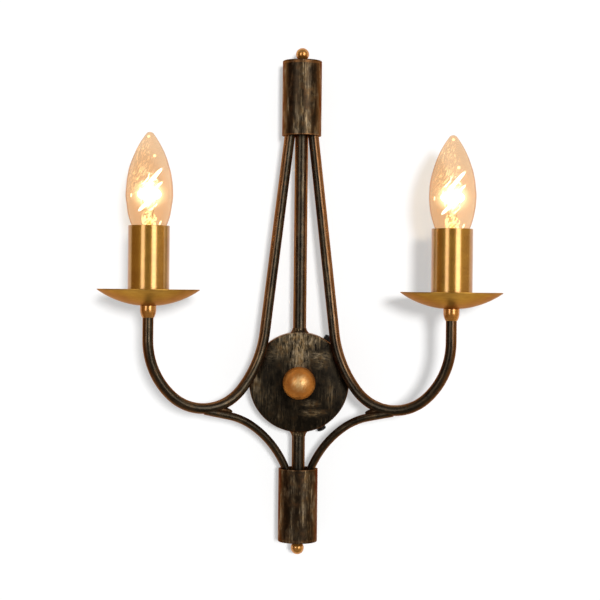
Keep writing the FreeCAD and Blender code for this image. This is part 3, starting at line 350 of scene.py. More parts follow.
def bendBar(start, heading, steps, radius, around=32, stepAngle=3.0, stepLength=25.0):
    # a round bar along straight runs and bends in its own XZ plane. Each point keeps its place round the bar
    # and along it in the attribute "grain", so that brush marks follow the bends.
    bm = bmesh.new()
    grain = bm.verts.layers.float_vector.new("grain")
    spot = Vector((start[0], 0, start[1]))
    side = Vector((sin(heading), 0, -cos(heading)))
    along = 0.0

    def keepPlace(verts):
        for vert in verts:
            offset = vert.co - spot
            vert[grain] = (offset.dot(side) * mm, offset.y * mm, along * mm)

    square = Matrix.Rotation(radians(90) - heading, 4, "Y")
    bmesh.ops.create_circle(bm, cap_ends=True, segments=around, radius=radius,
                            matrix=Matrix.Translation(spot) @ square)
    ring = bm.verts[:]
    edges = bm.edges[:]
    keepPlace(ring)
    for step in steps:
        if isinstance(step, tuple):
            curve, angle, way = step
            centre = spot + Vector((-sin(heading), 0, cos(heading))) * (way * curve)
            count = max(2, round(angle / stepAngle))
            part = radians(angle) / count
            for number in range(count):
                made = bmesh.ops.spin(bm, geom=ring + edges, cent=centre, axis=(0, -way, 0), dvec=(0, 0, 0),
                                      angle=part, steps=1, use_duplicate=False)
                ring = [item for item in made["geom_last"] if isinstance(item, bmesh.types.BMVert)]
                edges = [item for item in made["geom_last"] if isinstance(item, bmesh.types.BMEdge)]
                heading = heading + part * way
                spot = centre - Vector((-sin(heading), 0, cos(heading))) * (way * curve)
                side = Vector((sin(heading), 0, -cos(heading)))
                along += curve * part
                keepPlace(ring)
        else:
            count = max(1, round(step / stepLength))
            for number in range(count):
                made = bmesh.ops.extrude_edge_only(bm, edges=edges)
                ring = [item for item in made["geom"] if isinstance(item, bmesh.types.BMVert)]
                edges = [item for item in made["geom"] if isinstance(item, bmesh.types.BMEdge)
                         and item.verts[0] in ring and item.verts[1] in ring]
                move = Vector((cos(heading), 0, sin(heading))) * (step / count)
                bmesh.ops.translate(bm, verts=ring, vec=move)
                spot = spot + move
                along += step / count
                keepPlace(ring)
    bmesh.ops.edgeloop_fill(bm, edges=edges)
    bmesh.ops.recalc_face_normals(bm, faces=bm.faces)
    return bm


def upright(x=0.0, y=0.0, z=0.0, flip=False):
    turn = Matrix.Rotation(pi, 4, "X") if flip else Matrix.Identity(4)
    return Matrix.Translation((x, y, z)) @ turn


def facing(y):
    # a piece turned about the canopy's own axis: its Z becomes -Y
    return Matrix.Translation((0, y, 0)) @ Matrix.Rotation(radians(90), 4, "X")


stemAxis = -18.0
canopy = {
    "radius": 38.0,
    "depth": 25.5,
    "edge": 1.2,
    "dome": 2.5,
    "wall": 1.2,
    # pale brushing on its face; the first two, at the top middle down to the knob, are also a painted
    # highlight: (x, z, half width, half height, strength, brushed across)
    "smudgesAndHighlight": [
        (0, 34, 24, 13, 3.2, False), (0, 21, 12, 26, 2.8, False), (-18, 22, 15, 10, 0.7, True),
        (-10, 27, 16, 14, 1.6, False), (15, 20, 12, 6, 1.3, True), (16, 14, 9, 5, 0.9, True),
        (9, -16, 10, 4, 1.1, True), (11, -23, 14, 4, 1.2, True), (-33, 3, 6, 22, 1.5, False),
        (23, -8, 6, 16, 0.9, False), (-24, -12, 14, 14, 0.8, False), (-16, -25, 12, 10, 0.6, False),
    ],
}
sleeve = {
    "radius": 15.0,
    "wall": 1.0,
    "upperFoot": 188.0,
    "upperHead": 243.5,
    "lowerFoot": -120.0,
    "lowerHead": -66.0,
    "capRim": 1.8,
    "capEdge": 0.8,
    "capSpigot": 3.0,
    "capFit": 0.05,             # spigot's clearance in the tube
    "finial": 5.0,
    "finialStud": 2.0,
}
sleeveEnds = [sleeve[key] for key in ("upperFoot", "upperHead", "lowerFoot", "lowerHead")]

patina = {
    # strength of the brushing; where the painted reflection of the wall starts on the way round from the
    # front to the side, and how far it goes; a shift of the pattern in millimetres; the wax from thick to
    # thin, and the copper brown of that reflection and the edge lines
    "tubes": {"brushing": 0.5, "reflectionFrom": 0.42, "reflectionStrength": 0.95, "roughness": 0.24, "shift": (0, 0, 0),
              "wax": ("#2c2822", "#3a342b", "#4e3d2c"), "bronze": "#92633c"},
    "sleeves": {"brushing": 1.35, "reflectionFrom": 0.66, "reflectionStrength": 0.6, "roughness": 0.31, "shift": (3, 11, 0),
                "wax": ("#2a231b", "#392d21", "#523b27"), "bronze": "#8a5d36"},
    "canopy": {"brushing": 0.3, "roughness": 0.26, "shift": (40, 0, 20),
               "wax": ("#1f1c18", "#2a2620", "#3a2e22"), "bronze": "#8a5d36"},
}
ironAlong = ironPatina("patinaAlongTubes", patina["tubes"], along=True)
ironUpright = ironPatina("patinaOnSleeves", patina["sleeves"], ends=sleeveEnds)
ironCanopy = ironPatina("patinaOnCanopy", patina["canopy"], smudgesAndHighlight=canopy["smudgesAndHighlight"],
                        radius=canopy["radius"])
# deep and bright tone, roughness, metallic, clear coat, and a painted highlight
copperGold = satinMetal("copperGoldLacquer", "#bf7c30", "#d0923e", 0.26, 0.85, 0.5)
brushedKnob = satinMetal("brushedCopperGold", "#bf7632", "#cf8a44", 0.46, 0.82, 0.0, (0.8, 0.6, 8.0))
satinGold = satinMetal("satinGoldLacquer", "#ac7720", "#c08c2e", 0.24, 0.72, 0.7)
turnedGold = satinMetal("turnedSatinGold", "#9e7230", "#b68a40", 0.34, 0.8, 0.0)
# two tones, one over the mottling's size, roughness, metallic, and the bump's depth
blackScrew = fittingFinish("blackOxideSteel", ("#0e0c0b", "#1d1916"), 0.6, 0.45, 0.6)
zincSteel = fittingFinish("zincPlatedSteel", ("#a9abaa", "#c4c6c4"), 0.35, 0.34, 1.0)
brassPlain = fittingFinish("plainBrass", ("#b08a3e", "#c9a557"), 0.5, 0.3, 1.0)
ivoryThermoset = fittingFinish("ivoryThermoset", ("#d9d3c0", "#e6e1d2"), 0.3, 0.42)
whiteNylon = fittingFinish("whiteNylon", ("#dcdad4", "#ebeae6"), 0.4, 0.5)
blackRubber = fittingFinish("softBlackRubber", ("#151515", "#232323"), 0.8, 0.7, 0.0, 0.06)
leadSheath = fittingFinish("leadSheath", ("#cfcabc", "#ddd9cf"), 0.5, 0.55)
nickelBrass = fittingFinish("nickelPlatedBrass", ("#b9a77c", "#d2c39c"), 0.5, 0.25, 1.0)

for node, material in {
    "wall_plate": zincSteel, "knob_stud": zincSteel, "knob_nut": zincSteel, "upper_stem_nut": zincSteel,
    "lower_stem_nut": zincSteel, "terminal_screws": zincSteel, "earth_screw": brassPlain,
    "terminal_block": whiteNylon, "cable_grommet": blackRubber, "upper_hub": ironUpright,
    "lower_hub": ironUpright, "canopy_screw_1": blackScrew, "canopy_screw_2": blackScrew,
    "canopy_screw_3": blackScrew, "lead_left": leadSheath, "lead_right": leadSheath,
    "pan_nut_left": zincSteel, "pan_nut_right": zincSteel, "lampholder_left": ivoryThermoset,
    "lampholder_right": ivoryThermoset, "lampholder_shell_left": nickelBrass,
    "lampholder_shell_right": nickelBrass, "lampholder_contact_left": nickelBrass,
    "lampholder_contact_right": nickelBrass, "bulb_cap_left": nickelBrass, "bulb_cap_right": nickelBrass,
}.items():
    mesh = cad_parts[node].data
    mesh.materials.clear()
    mesh.materials.append(material)
print("finishes made")


def makeCanopy():
    radius, depth, edge, dome, wall = (canopy[key] for key in ("radius", "depth", "edge", "dome", "wall"))
    foot = radius - edge
    curve = (foot * foot + dome * dome) / (dome * 2)
    inside = radius - wall
    innerCurve = (inside * inside / dome + dome) / 2
    bm, last = startTurning(0, depth + dome - wall)
    last = arcTo(bm, last, inside, depth - wall, innerCurve, -1, 20)
    last = runTo(bm, last, inside, 0)
    last = runTo(bm, last, radius, 0)
    last = runTo(bm, last, radius, depth - edge)
    last = arcTo(bm, last, foot, depth, edge, 1, 6)
    arcTo(bm, last, 0, depth + dome, curve, 1, 24)
    turnRound(bm, 128, closed=False, edge=0.15)
    finishPiece("canopyShell", bm, facing(0), ironCanopy, "fixture", ["canopy_cover"])


knob = {
    "radius": 12.35,
    "seat": 7.5,
    "back": 28.0,               # canopy's middle, in front of the wall
}


def makeKnob():
    radius, seat = knob["radius"], knob["seat"]
    heart = sqrt(radius * radius - seat * seat)
    bm, last = startTurning(0, 0)
    last = runTo(bm, last, seat, 0)
    arcTo(bm, last, 0, heart + radius, radius, 1, 40)
    turnRound(bm, 96, closed=False, edge=0.3)
    finishPiece("knobBall", bm, facing(-knob["back"]), brushedKnob, "fixture", ["centre_knob"])


stem = {
    "radius": 5.0,
    "root": 0.4,                # starts this far inside the canopy's side
    "upperTop": 197.5,
    "lowerFoot": -77.0,
    "flareBase": 6.9,
    "flareHeight": 3.2,
    "flareNeck": 5.25,
    "flareCurve": 5.5,
    "flareSkirt": 0.68,         # goes this far into the canopy's wall
    "flareGrip": 0.3,           # and this far into the tube
}


def makeStem(name, sign, far):
    start = canopy["radius"] - stem["root"]
    bm = bendBar((0, start * sign), radians(90) * sign, [far * sign - start], stem["radius"])
    finishPiece(name + "StemTube", bm, upright(0, stemAxis, 0), ironAlong, "fixture",
                [name + "_stem"])
    bore, skirt, height = stem["radius"] - stem["flareGrip"], stem["flareSkirt"], stem["flareHeight"]
    bm, last = startTurning(bore, -skirt)
    last = runTo(bm, last, stem["flareBase"], -skirt)
    last = runTo(bm, last, stem["flareBase"], 0)
    last = arcTo(bm, last, stem["flareNeck"], height, stem["flareCurve"], -1, 8)
    runTo(bm, last, bore, height)
    turnRound(bm, 64, edge=0.1)
    place = upright(0, stemAxis, canopy["radius"] * sign, sign < 0)
    finishPiece(name + "StemFlare", bm, place, ironUpright, "fixture", [name + "_flare"])


makeCanopy()
makeKnob()
makeStem("upper", 1, stem["upperTop"])
makeStem("lower", -1, stem["lowerFoot"])
print("canopy, knob and stem made")


def makeSleeve(name, foot, head, sign):
    radius, wall = sleeve["radius"], sleeve["wall"]
    bm, last = startTurning(radius - wall, 0)
    last = runTo(bm, last, radius, 0)
    last = runTo(bm, last, radius, head - foot, 1.0)
    last = runTo(bm, last, radius - wall, head - foot)
    turnRound(bm, 96, edge=0.28)
    finishPiece(name + "SleeveTube", bm, upright(0, stemAxis, foot), ironUpright, "fixture",
                [name + "_sleeve"])

    seat = head if sign > 0 else foot
    spigot, rim, edge = sleeve["capSpigot"], sleeve["capRim"], sleeve["capEdge"]
    plug = radius - wall - sleeve["capFit"]
    bm, last = startTurning(0, -spigot)
    last = runTo(bm, last, plug, -spigot)
    last = runTo(bm, last, plug, 0)
    last = runTo(bm, last, radius, 0)
    last = runTo(bm, last, radius, rim - edge)
    last = arcTo(bm, last, radius - edge, rim, edge, 1, 6)
    runTo(bm, last, 0, rim)
    turnRound(bm, 96, closed=False, edge=0.1)
    finishPiece(name + "EndCap", bm, upright(0, stemAxis, seat, sign < 0), ironUpright, "fixture",
                [name + "_cap"])

    ball, stud = sleeve["finial"], sleeve["finialStud"]
    heart = sqrt(ball * ball - stud * stud)
    bm, last = startTurning(0, -spigot)
    last = runTo(bm, last, stud, -spigot)
    last = runTo(bm, last, stud, rim + ball - heart)
    arcTo(bm, last, 0, rim + ball * 2, ball, 1, 28)
    turnRound(bm, 64, closed=False)
    finishPiece(name + "FinialBall", bm, upright(0, stemAxis, seat, sign < 0), copperGold, "fixture",
                [name + "_finial"])


makeSleeve("upper", sleeve["upperFoot"], sleeve["upperHead"], 1)
makeSleeve("lower", sleeve["lowerFoot"], sleeve["lowerHead"], -1)
print("sleeves made")

arm = {
    "swing": 22.0,              # degrees forward of the wall's direction
    "radius": 4.0,
    "start": (9.5, 197.5),      # out from the stem's axis, and up
    # runs are lengths, bends are (radius, degrees, side)
    "steps": [5.5, (40.0, 7.1, 1), 150.3, (84.0, 32.6, 1), (38.0, 92.1, 1), (56.5, 48.2, 1), 36.9],
}
scroll = {
    "radius": 3.0,
    "start": (9.0, -77.0),
    "crank": (12.0, 22.5, -1),
    "ratio": 1.44,              # first curve's radius over the second's
    "firstTurn": 33.4,
    "landSlope": 78.0,
    "end": (75.375, -20.881),
    "straight": 5.5,
}
braze = {
    "middle": (60.7, -20.4),
    "length": 14.0,
    "height": 4.6,
    "width": 5.4,
}
azimuths = {"left": 180.0 + arm["swing"], "right": -arm["swing"]}


def armPlane(side):
    return Matrix.Translation((0, stemAxis, 0)) @ Matrix.Rotation(radians(azimuths[side]), 4, "Z")


def scrollSteps():
    # the two curves are sized so that the rod lands on the arm on a straight run of the given slope
    lean, slope = scroll["crank"][1], scroll["landSlope"]
    first = scroll["firstTurn"]
    second = slope - lean - first
    crank = scroll["crank"][0]
    x = scroll["start"][0] + crank * (1 - cos(radians(lean)))
    z = scroll["start"][1] + scroll["straight"] + crank * sin(radians(lean))
    across, up = scroll["end"][0] - x, scroll["end"][1] - z
    s, d, e = radians(slope), radians(slope - lean), radians(second)
    offset = across * cos(s) - up * sin(s)
    small = offset / (scroll["ratio"] * (cos(d) - cos(e)) + cos(e) - 1)
    large = small * scroll["ratio"]
    run = across * sin(s) + up * cos(s) - large * (sin(d) - sin(e)) - small * sin(e)
    return [scroll["straight"], scroll["crank"], (large, first, -1), (small, second, -1), run]


def makeArms():
    for side in azimuths:
        bm = bendBar(arm["start"], radians(-90), arm["steps"], arm["radius"])
        finishPiece("armTube_" + side, bm, armPlane(side), ironAlong, "fixture",
                    ["arm_tube_" + side])
        bm = bendBar(scroll["start"], radians(90), scrollSteps(), scroll["radius"], 28)
        finishPiece("scrollRod_" + side, bm, armPlane(side), ironAlong, "fixture",
                    ["scroll_rod_" + side])
        bm = bmesh.new()
        bmesh.ops.create_uvsphere(bm, u_segments=32, v_segments=20, radius=1.0)
        half = (braze["height"] / 2, braze["width"] / 2, braze["length"] / 2)
        bmesh.ops.scale(bm, verts=bm.verts, vec=half)
        lean = Matrix.Rotation(radians(scroll["landSlope"]), 4, "Y")
        spot = Matrix.Translation((braze["middle"][0], 0, braze["middle"][1]))
        finishPiece("brazeFillet_" + side, bm, armPlane(side) @ spot @ lean, ironUpright, "fixture",
                    ["braze_" + side])


makeArms()
print("arms and scroll rods made")


def candleAxis(side):
    low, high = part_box("candle_cover_" + side)
    return (low.x + high.x) / 2 / mm, (low.y + high.y) / 2 / mm


pan = {
    "radius": 37.75,
    "curve": 66.0,
    "floor": 8.2,
    "thickness": 0.9,
    "lip": 0.6,
    "bore": 4.05,
}
bead = {
    "radius": 5.95,
    "foot": 4.35,
    "taper": 6.0,
    "curve": 12.05,
    "cheek": 3.0,
}
cover = {
    "radius": 15.3,
    "wall": 1.0,
}


def makePan(side, x, y, foot):
    curve, thick, floor, rim = pan["curve"], pan["thickness"], pan["floor"], pan["radius"]
    inner = curve - thick
    heart = sqrt(curve * curve - floor * floor)
    rimUp = heart - sqrt(curve * curve - rim * rim)
    innerFloor = sqrt(inner * inner - (heart - thick) ** 2)
    innerRim = rim - thick
    innerRimUp = heart - sqrt(inner * inner - innerRim * innerRim)
    bm, last = startTurning(pan["bore"], 0)
    last = runTo(bm, last, floor, 0)
    last = arcTo(bm, last, rim, rimUp, curve, 1, 30)
    last = runTo(bm, last, rim, rimUp + pan["lip"])
    last = runTo(bm, last, innerRim, rimUp + pan["lip"])
    last = runTo(bm, last, innerRim, innerRimUp)
    last = arcTo(bm, last, innerFloor, thick, inner, -1, 30)
    runTo(bm, last, pan["bore"], thick)
    turnRound(bm, 128, edge=0.12)
    finishPiece("dripPan_" + side, bm, upright(x, y, foot), turnedGold, "fixture",
                ["drip_pan_" + side])

    bm, last = startTurning(pan["bore"], 0)
    last = runTo(bm, last, bead["foot"], 0)
    last = arcTo(bm, last, bead["radius"], bead["taper"], bead["curve"], 1, 12)
    last = runTo(bm, last, bead["radius"], bead["taper"] + bead["cheek"])
    runTo(bm, last, pan["bore"], bead["taper"] + bead["cheek"])
    turnRound(bm, 64, edge=0.12)
    finishPiece("panBead_" + side, bm, upright(x, y, foot - bead["taper"] - bead["cheek"]), copperGold,
                "fixture", ["pan_bead_" + side])


def makeCover(side, x, y):
    low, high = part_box("candle_cover_" + side)
    length = (high.z - low.z) / mm
    radius, bore = cover["radius"], cover["radius"] - cover["wall"]
    bm, last = startTurning(bore, 0)
    last = runTo(bm, last, radius, 0)
    last = runTo(bm, last, radius, length, 1.0)
    last = runTo(bm, last, bore, length)
    turnRound(bm, 128, edge=0.22)
    finishPiece("candleCover_" + side, bm, upright(x, y, low.z / mm), satinGold, "fixture",
                ["candle_cover_" + side])


for side in azimuths:
    x, y = candleAxis(side)
    makePan(side, x, y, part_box("drip_pan_" + side)[0].z / mm)
    makeCover(side, x, y)
print("pans and candle covers made")

bulb = {
    "lift": 0.05,               # its foot, over the cap
    "neck": 8.0,
    "radius": 17.6,
    "shoulder": 33.5,           # neck to the widest place
    "flame": 45.4,              # widest place to the tip
    "tipRound": 3.6,
    "ripple": 0.55,             # depth of the blown glass's waves, inwards
    "rippleSize": 7.0,
    # glints of the lamps on the glass: x and height over the filament, and radius
    "glints": {"left": [(4.6, 27.5, 1.3), (-0.5, 42.3, 1.5)], "right": [(2.9, 21.0, 1.5), (-0.3, 42.3, 1.5)]},
    # strokes on the glass: size, thresholds, lean, shift of the pattern and distortion, and the middle and
    # half sizes of the zone that they lie in, from the filament
    "leaning": ((0.6, 0.9, 3.6), (0.55, 0.63), 40, (5, 3, 1), 0.8, (-5, -12, 9), (12, 18, 17)),
    "steep": ((0.6, 0.9, 4.5), (0.56, 0.64), 12, (1, 8, 4), 0.8, (-4, -9, 26), (9, 16, 22)),
    "hairlines": ((0.5, 0.6, 6.0), (0.55, 0.63), -14, (9, 2, 6), 0.5, (10, -6, 22), (9, 18, 24)),
}
mount = {
    "lift": 0.1,                # its foot, just over the glass's
    "stem": 4.0,                # glass stem's foot and top, its height and the curve of its side
    "stemTop": 1.6,
    "stemHeight": 16.0,
    "stemCurve": 40.0,
    "wireRadius": 0.35,
    "spread": 6.0,              # filament's half length
    "filament": 33.0,           # its height over the neck
    "coilRadius": 0.9,
    "coilTurns": 14,
    "coilSteps": 12,            # in each turn
    "coilWire": 0.2,            # radius
}
glow = {
    # light round the lit filament, as the rippled glass throws it: half width and height, place beside and
    # over the filament's middle, tilt of the body, lean of its light, and the size and thresholds of streaks
    "glowCore": {"half": (9.0, 4.8), "at": (0, 0), "tilt": 0, "lean": 0, "opacity": 1.0, "brightness": 3.0,
                 "colour": "#fffcf4", "streak": (30, 30, 8), "limits": (0.1, 0.3)},
    "glowRay": {"half": (1.4, 10.4), "at": (3.0, 12.2), "tilt": 41, "lean": 41, "opacity": 1.0,
                "brightness": 3.0, "colour": "#fffcf4", "streak": (30, 30, 30), "limits": (0.0, 0.2)},
    "glowSpark": {"half": (0.9, 4.2), "at": (6.8, 6.8), "tilt": 48, "lean": 48, "opacity": 1.0,
                  "brightness": 3.0, "colour": "#fff6e2", "streak": (30, 30, 30), "limits": (0.0, 0.2)},
    "glowLoop": {"half": (1.2, 6.2), "at": (-4.0, -8.6), "tilt": 46, "lean": 46, "opacity": 1.0,
                 "brightness": 3.0, "colour": "#fffaf0", "streak": (30, 30, 30), "limits": (0.0, 0.2)},
    "glowSide": {"half": (0.5, 1.8), "at": (-13.4, -0.8), "tilt": 4, "lean": 4, "opacity": 0.7,
                 "brightness": 2.0, "colour": "#fff0d0", "streak": (30, 30, 30), "limits": (0.0, 0.2)},
    "glowLow": {"half": (0.6, 2.2), "at": (8.2, -21.0), "tilt": 24, "lean": 24, "opacity": 0.8,
                "brightness": 2.0, "colour": "#fff0d0", "streak": (30, 30, 30), "limits": (0.0, 0.2)},
    "glowStreaks": {"half": (7.5, 14.5), "at": (0, 2), "tilt": 0, "lean": 42, "opacity": 1.0,
                    "brightness": 2.4, "colour": "#fff2d2", "streak": (0.9, 2.5, 6.0),
                    "limits": (0.56, 0.62)},
    "glowFoot": {"half": (5.6, 7.5), "at": (0, -18.5), "tilt": 0, "lean": 20, "opacity": 0.85,
                 "brightness": 2.1, "colour": "#ffe7ae", "streak": (1.2, 2.0, 2.2), "limits": (0.49, 0.59)},
}
haze = {
    "half": (15.5, 13.0),
    "lean": 0,
    "opacity": 0.95,
    "brightness": 1.9,
    "colour": "#fff0cc",
    "streak": (40, 40, 40),
    "limits": (0.0, 0.2),
}


def blownGlass(name, middle, glints):
    # Clear lamp glass, blown with a ripple and lit from inside. The eye gets a peach veil with slight waves,
    # thin pale strokes of refracted light over the filament and darker hairlines along its shoulders.
    material, tree = startMaterial(name)
    place = inMillimetres(tree, middle)
    ripple = strokes(tree, place, (3.0, 3.0, 9.0), 0.3, 0.7, 14, distortion=0.8)
    drawn = {}
    for kind in ("leaning", "steep", "hairlines"):
        size, limits, lean, shift, distortion, spot, half = bulb[kind]
        marks = strokes(tree, place, size, *limits, lean, shift, 2.0, distortion)
        zone = addNode(tree, "MapRange", {"Value": roundSpot(tree, place, spot, half), "From Max": 0.6})
        drawn[kind] = addNode(tree, "Math", {0: marks, 1: zone}, operation="MULTIPLY")
    lit = addNode(tree, "Math", {0: drawn["leaning"], 1: drawn["steep"]}, operation="ADD")
    # glints, on the front of the glass only
    for x, z, radius in glints:
        spot = roundSpot(tree, place, (x, -10, z), (radius, 12.5, radius))
        lit = addNode(tree, "Math", {0: spot, 1: 6.0, 2: lit}, operation="MULTIPLY_ADD")
    strength = addNode(tree, "Math", {0: lit, 1: 2.2, 2: 0.2}, operation="MULTIPLY_ADD")
    peach = addNode(tree, "ValToRGB", {"Fac": ripple}, [(0.0, "#b37645"), (1.0, "#c98b56")])
    colour = addNode(tree, "MixRGB", {"Fac": drawn["hairlines"], "Color1": peach,
                                      "Color2": linear("#6a4a30")})
    bump = addNode(tree, "Bump", {"Height": ripple, "Strength": 0.5, "Distance": 0.3 * mm})
    shader = addNode(tree, "BsdfPrincipled", {"Base Color": colour, "Roughness": 0.06, "Normal": bump,
                                              "Emission Color": linear("#ffcb86"),
                                              "Emission Strength": strength})
    # thicker glass to look through at its outline
    edge = addNode(tree, "LayerWeight", {"Blend": 0.5}).outputs["Facing"]
    tint = addNode(tree, "ValToRGB", {"Fac": edge}, [(0.6, "#fcefdb"), (0.95, "#d3a680")])
    clear = addNode(tree, "BsdfTransparent", {"Color": tint})
    whole = addNode(tree, "MixShader", {0: 0.27, 1: clear, 2: shader})
    addNode(tree, "OutputMaterial", {"Surface": whole})
    return material


def stemGlass(name):
    # Lead glass of the lamp's stem, pressed round its wires. The eye gets a clear amber rod full of light.
    material, tree = startMaterial(name)
    cloud = strokes(tree, inMillimetres(tree), (1.2, 1.2, 2.0), 0.4, 0.6, distortion=0.8)
    amber = addNode(tree, "ValToRGB", {"Fac": cloud}, [(0.0, "#e8a850"), (1.0, "#ffe6b0")])
    shader = addNode(tree, "BsdfPrincipled", {"Base Color": amber, "Roughness": 0.08,
                                              "Emission Color": amber, "Emission Strength": 0.8})
    clear = addNode(tree, "BsdfTransparent", {"Color": linear("#ffeecb")})
    whole = addNode(tree, "MixShader", {0: 0.7, 1: clear, 2: shader})
    addNode(tree, "OutputMaterial", {"Surface": whole})
    return material


def filamentLight(name, middle, look, allRound=False):
    # Light round a hot filament, seen through rippled glass. The eye gets a soft white heart, thinning out
    # towards its ends, or leaning white streaks.
    material, tree = startMaterial(name)
    place = inMillimetres(tree, middle)
    turned = addNode(tree, "Mapping", {"Vector": place, "Rotation": (0, radians(-look["lean"]), 0)})
    wide, high = look["half"]
    reach = (wide, wide, high) if allRound else (None, None, high)
    fade = addNode(tree, "MapRange", {"Value": roundSpot(tree, turned, (0, 0, 0), reach),
                                      "From Max": 1.0 if allRound else 0.5}, interpolation_type="SMOOTHSTEP")
    bands = strokes(tree, turned, look["streak"], *look["limits"], shift=(2, 4, 1), detail=2.0,
                    distortion=0.4)
    cover = addNode(tree, "Math", {0: fade, 1: bands}, operation="MULTIPLY")
    cover = addNode(tree, "Math", {0: cover, 1: look["opacity"]}, operation="MULTIPLY")
    colour = linear(look["colour"])
    shader = addNode(tree, "BsdfPrincipled", {"Base Color": colour, "Roughness": 1.0,
                                              "Specular IOR Level": 0.0, "Emission Color": colour,
                                              "Emission Strength": look["brightness"]})
    clear = addNode(tree, "BsdfTransparent")
    whole = addNode(tree, "MixShader", {0: cover, 1: clear, 2: shader})
    addNode(tree, "OutputMaterial", {"Surface": whole})
    return material


def makeGlass(side, x, y, foot):
    shoulder, flame, tip, wide = bulb["shoulder"], bulb["flame"], bulb["tipRound"], bulb["radius"]
    narrowing = wide - bulb["neck"]
    lower = (shoulder * shoulder + narrowing * narrowing) / (narrowing * 2)
    upper = (flame * flame + wide * wide - flame * tip * 2) / ((wide - tip) * 2)
    across = (upper - wide) / (upper - tip)
    along = (flame - tip) / (upper - tip)
    bm, last = startTurning(0, bulb["lift"])
    last = runTo(bm, last, bulb["neck"], bulb["lift"])
    last = arcTo(bm, last, wide, shoulder, lower, 1, 28)
    last = arcTo(bm, last, tip * across, shoulder + flame - tip + tip * along, upper, 1, 40)
    arcTo(bm, last, 0, shoulder + flame, tip, 1, 10)
    turnRound(bm, 96, closed=False)
    for vert in bm.verts:
        away = Vector((vert.co.x, vert.co.y, 0))
        wave = noise.noise(vert.co / bulb["rippleSize"] + Vector((x, 0, 0)))
        if away.length > 1:
            depth = bulb["ripple"] * (0.5 + wave * 0.5) * min(1.0, away.length / wide)
            vert.co -= away.normalized() * depth
    glass = blownGlass("blownGlass_" + side, (x, y, foot + mount["filament"]), bulb["glints"][side])
    finishPiece("bulbGlass_" + side, bm, upright(x, y, foot), glass, "bulb_" + side,
                ["bulb_glass_" + side])


def makeMount(side, x, y, foot):
    # glass stem with its two wires and the coiled filament between their tips
    body = "bulb_" + side
    bm, last = startTurning(0, mount["lift"])
    last = runTo(bm, last, mount["stem"], mount["lift"])
    last = arcTo(bm, last, mount["stemTop"], mount["stemHeight"], mount["stemCurve"], -1, 12)
    runTo(bm, last, 0, mount["stemHeight"])
    turnRound(bm, 32, closed=False, edge=0.3)
    finishPiece("bulbStem_" + side, bm, upright(x, y, foot), stemGlass("stemGlass_" + side), body,
                ["bulb_stem_" + side])

    bm = bmesh.new()
    start = mount["stemHeight"] / 2
    for sign in (-1, 1):
        rise = Vector((mount["spread"] * sign, 0, mount["filament"] - start))
        turn = rise.to_track_quat("Z", "Y").to_matrix().to_4x4()
        middle = Matrix.Translation(Vector((0, 0, start)) + rise / 2)
        bmesh.ops.create_cone(bm, cap_ends=True, segments=10, radius1=mount["wireRadius"],
                              radius2=mount["wireRadius"], depth=rise.length, matrix=middle @ turn)
    turns, reach, level = mount["coilTurns"], mount["spread"], mount["filament"]
    end = Matrix.Translation((-reach, 0, level + mount["coilRadius"])) @ Matrix.Rotation(radians(90), 4, "X")
    made = bmesh.ops.create_circle(bm, segments=6, radius=mount["coilWire"], cap_ends=True, matrix=end)
    ring = made["verts"]
    edges = list({edge for vert in ring for edge in vert.link_edges})
    steps = turns * mount["coilSteps"]
    made = bmesh.ops.spin(bm, geom=ring + edges, cent=(-reach, 0, level), axis=(1, 0, 0),
                          dvec=(reach * 2 / steps, 0, 0), angle=2 * pi * turns, steps=steps,
                          use_duplicate=False)
    rim = [item for item in made["geom_last"] if isinstance(item, bmesh.types.BMEdge)]
    bmesh.ops.edgeloop_fill(bm, edges=rim)
    finishPiece("filamentCoil_" + side, bm, upright(x, y, foot), nickelBrass, body)


def makeGlow(side, x, y, foot):
    body, level = "bulb_" + side, foot + mount["filament"]
    for name, look in glow.items():
        wide, high = look["half"]
        middle = (x + look["at"][0], y, level + look["at"][1])
        bm = bmesh.new()
        bmesh.ops.create_uvsphere(bm, u_segments=48, v_segments=28, radius=1.0)
        bmesh.ops.scale(bm, verts=bm.verts, vec=(wide, wide, high))
        place = upright(*middle) @ Matrix.Rotation(radians(look["tilt"]), 4, "Y")
        material = filamentLight(name + "Light_" + side, middle, look)
        item = finishPiece(name + "_" + side, bm, place, material, body)
        item.visible_shadow = False
    # haze of light on two crossing discs, thinning out to nothing at their rims
    wide, high = haze["half"]
    bm = bmesh.new()
    for turn in (0, 90):
        square = Matrix.Rotation(radians(turn), 4, "Z") @ Matrix.Rotation(radians(90), 4, "X")
        bmesh.ops.create_circle(bm, cap_ends=True, segments=48, radius=wide, matrix=square)
    bmesh.ops.scale(bm, verts=bm.verts, vec=(1, 1, high / wide))
    material = filamentLight("hazeLight_" + side, (x, y, level), haze, allRound=True)
    item = finishPiece("glowHaze_" + side, bm, upright(x, y, level), material, body)
    item.visible_shadow = False


for side in azimuths:
    x, y = candleAxis(side)
    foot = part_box("bulb_glass_" + side)[0].z / mm
    makeGlass(side, x, y, foot)
    makeMount(side, x, y, foot)
    makeGlow(side, x, y, foot)
print("bulbs made")

stage = {
    "wallGap": 0.4,             # behind the wall plate
    "wallHalf": 2500.0,
    "wallShare": 0.38,          # of its white that doesn't take the shadow
    "floorShare": 0.6,          # of the floor's that doesn't
    "floorDrop": 650.0,
    "floorReach": 5800.0,
    "backdropRadius": 6000.0,
    "curtainRadius": 2200.0,
    "curtainTop": 1900.0,
    "curtainOpen": 65.0,        # degrees of its right side that stay open
    "lowCardRise": 5.0,         # over the floor
    "sideCardPlace": (-160, 60),    # in front of the wall, and up
    "sideCardHalf": (300, 150),
    "sideCards": {"leftCard": (-340, "#7c5538"), "rightCard": (340, "#bca681")},
}


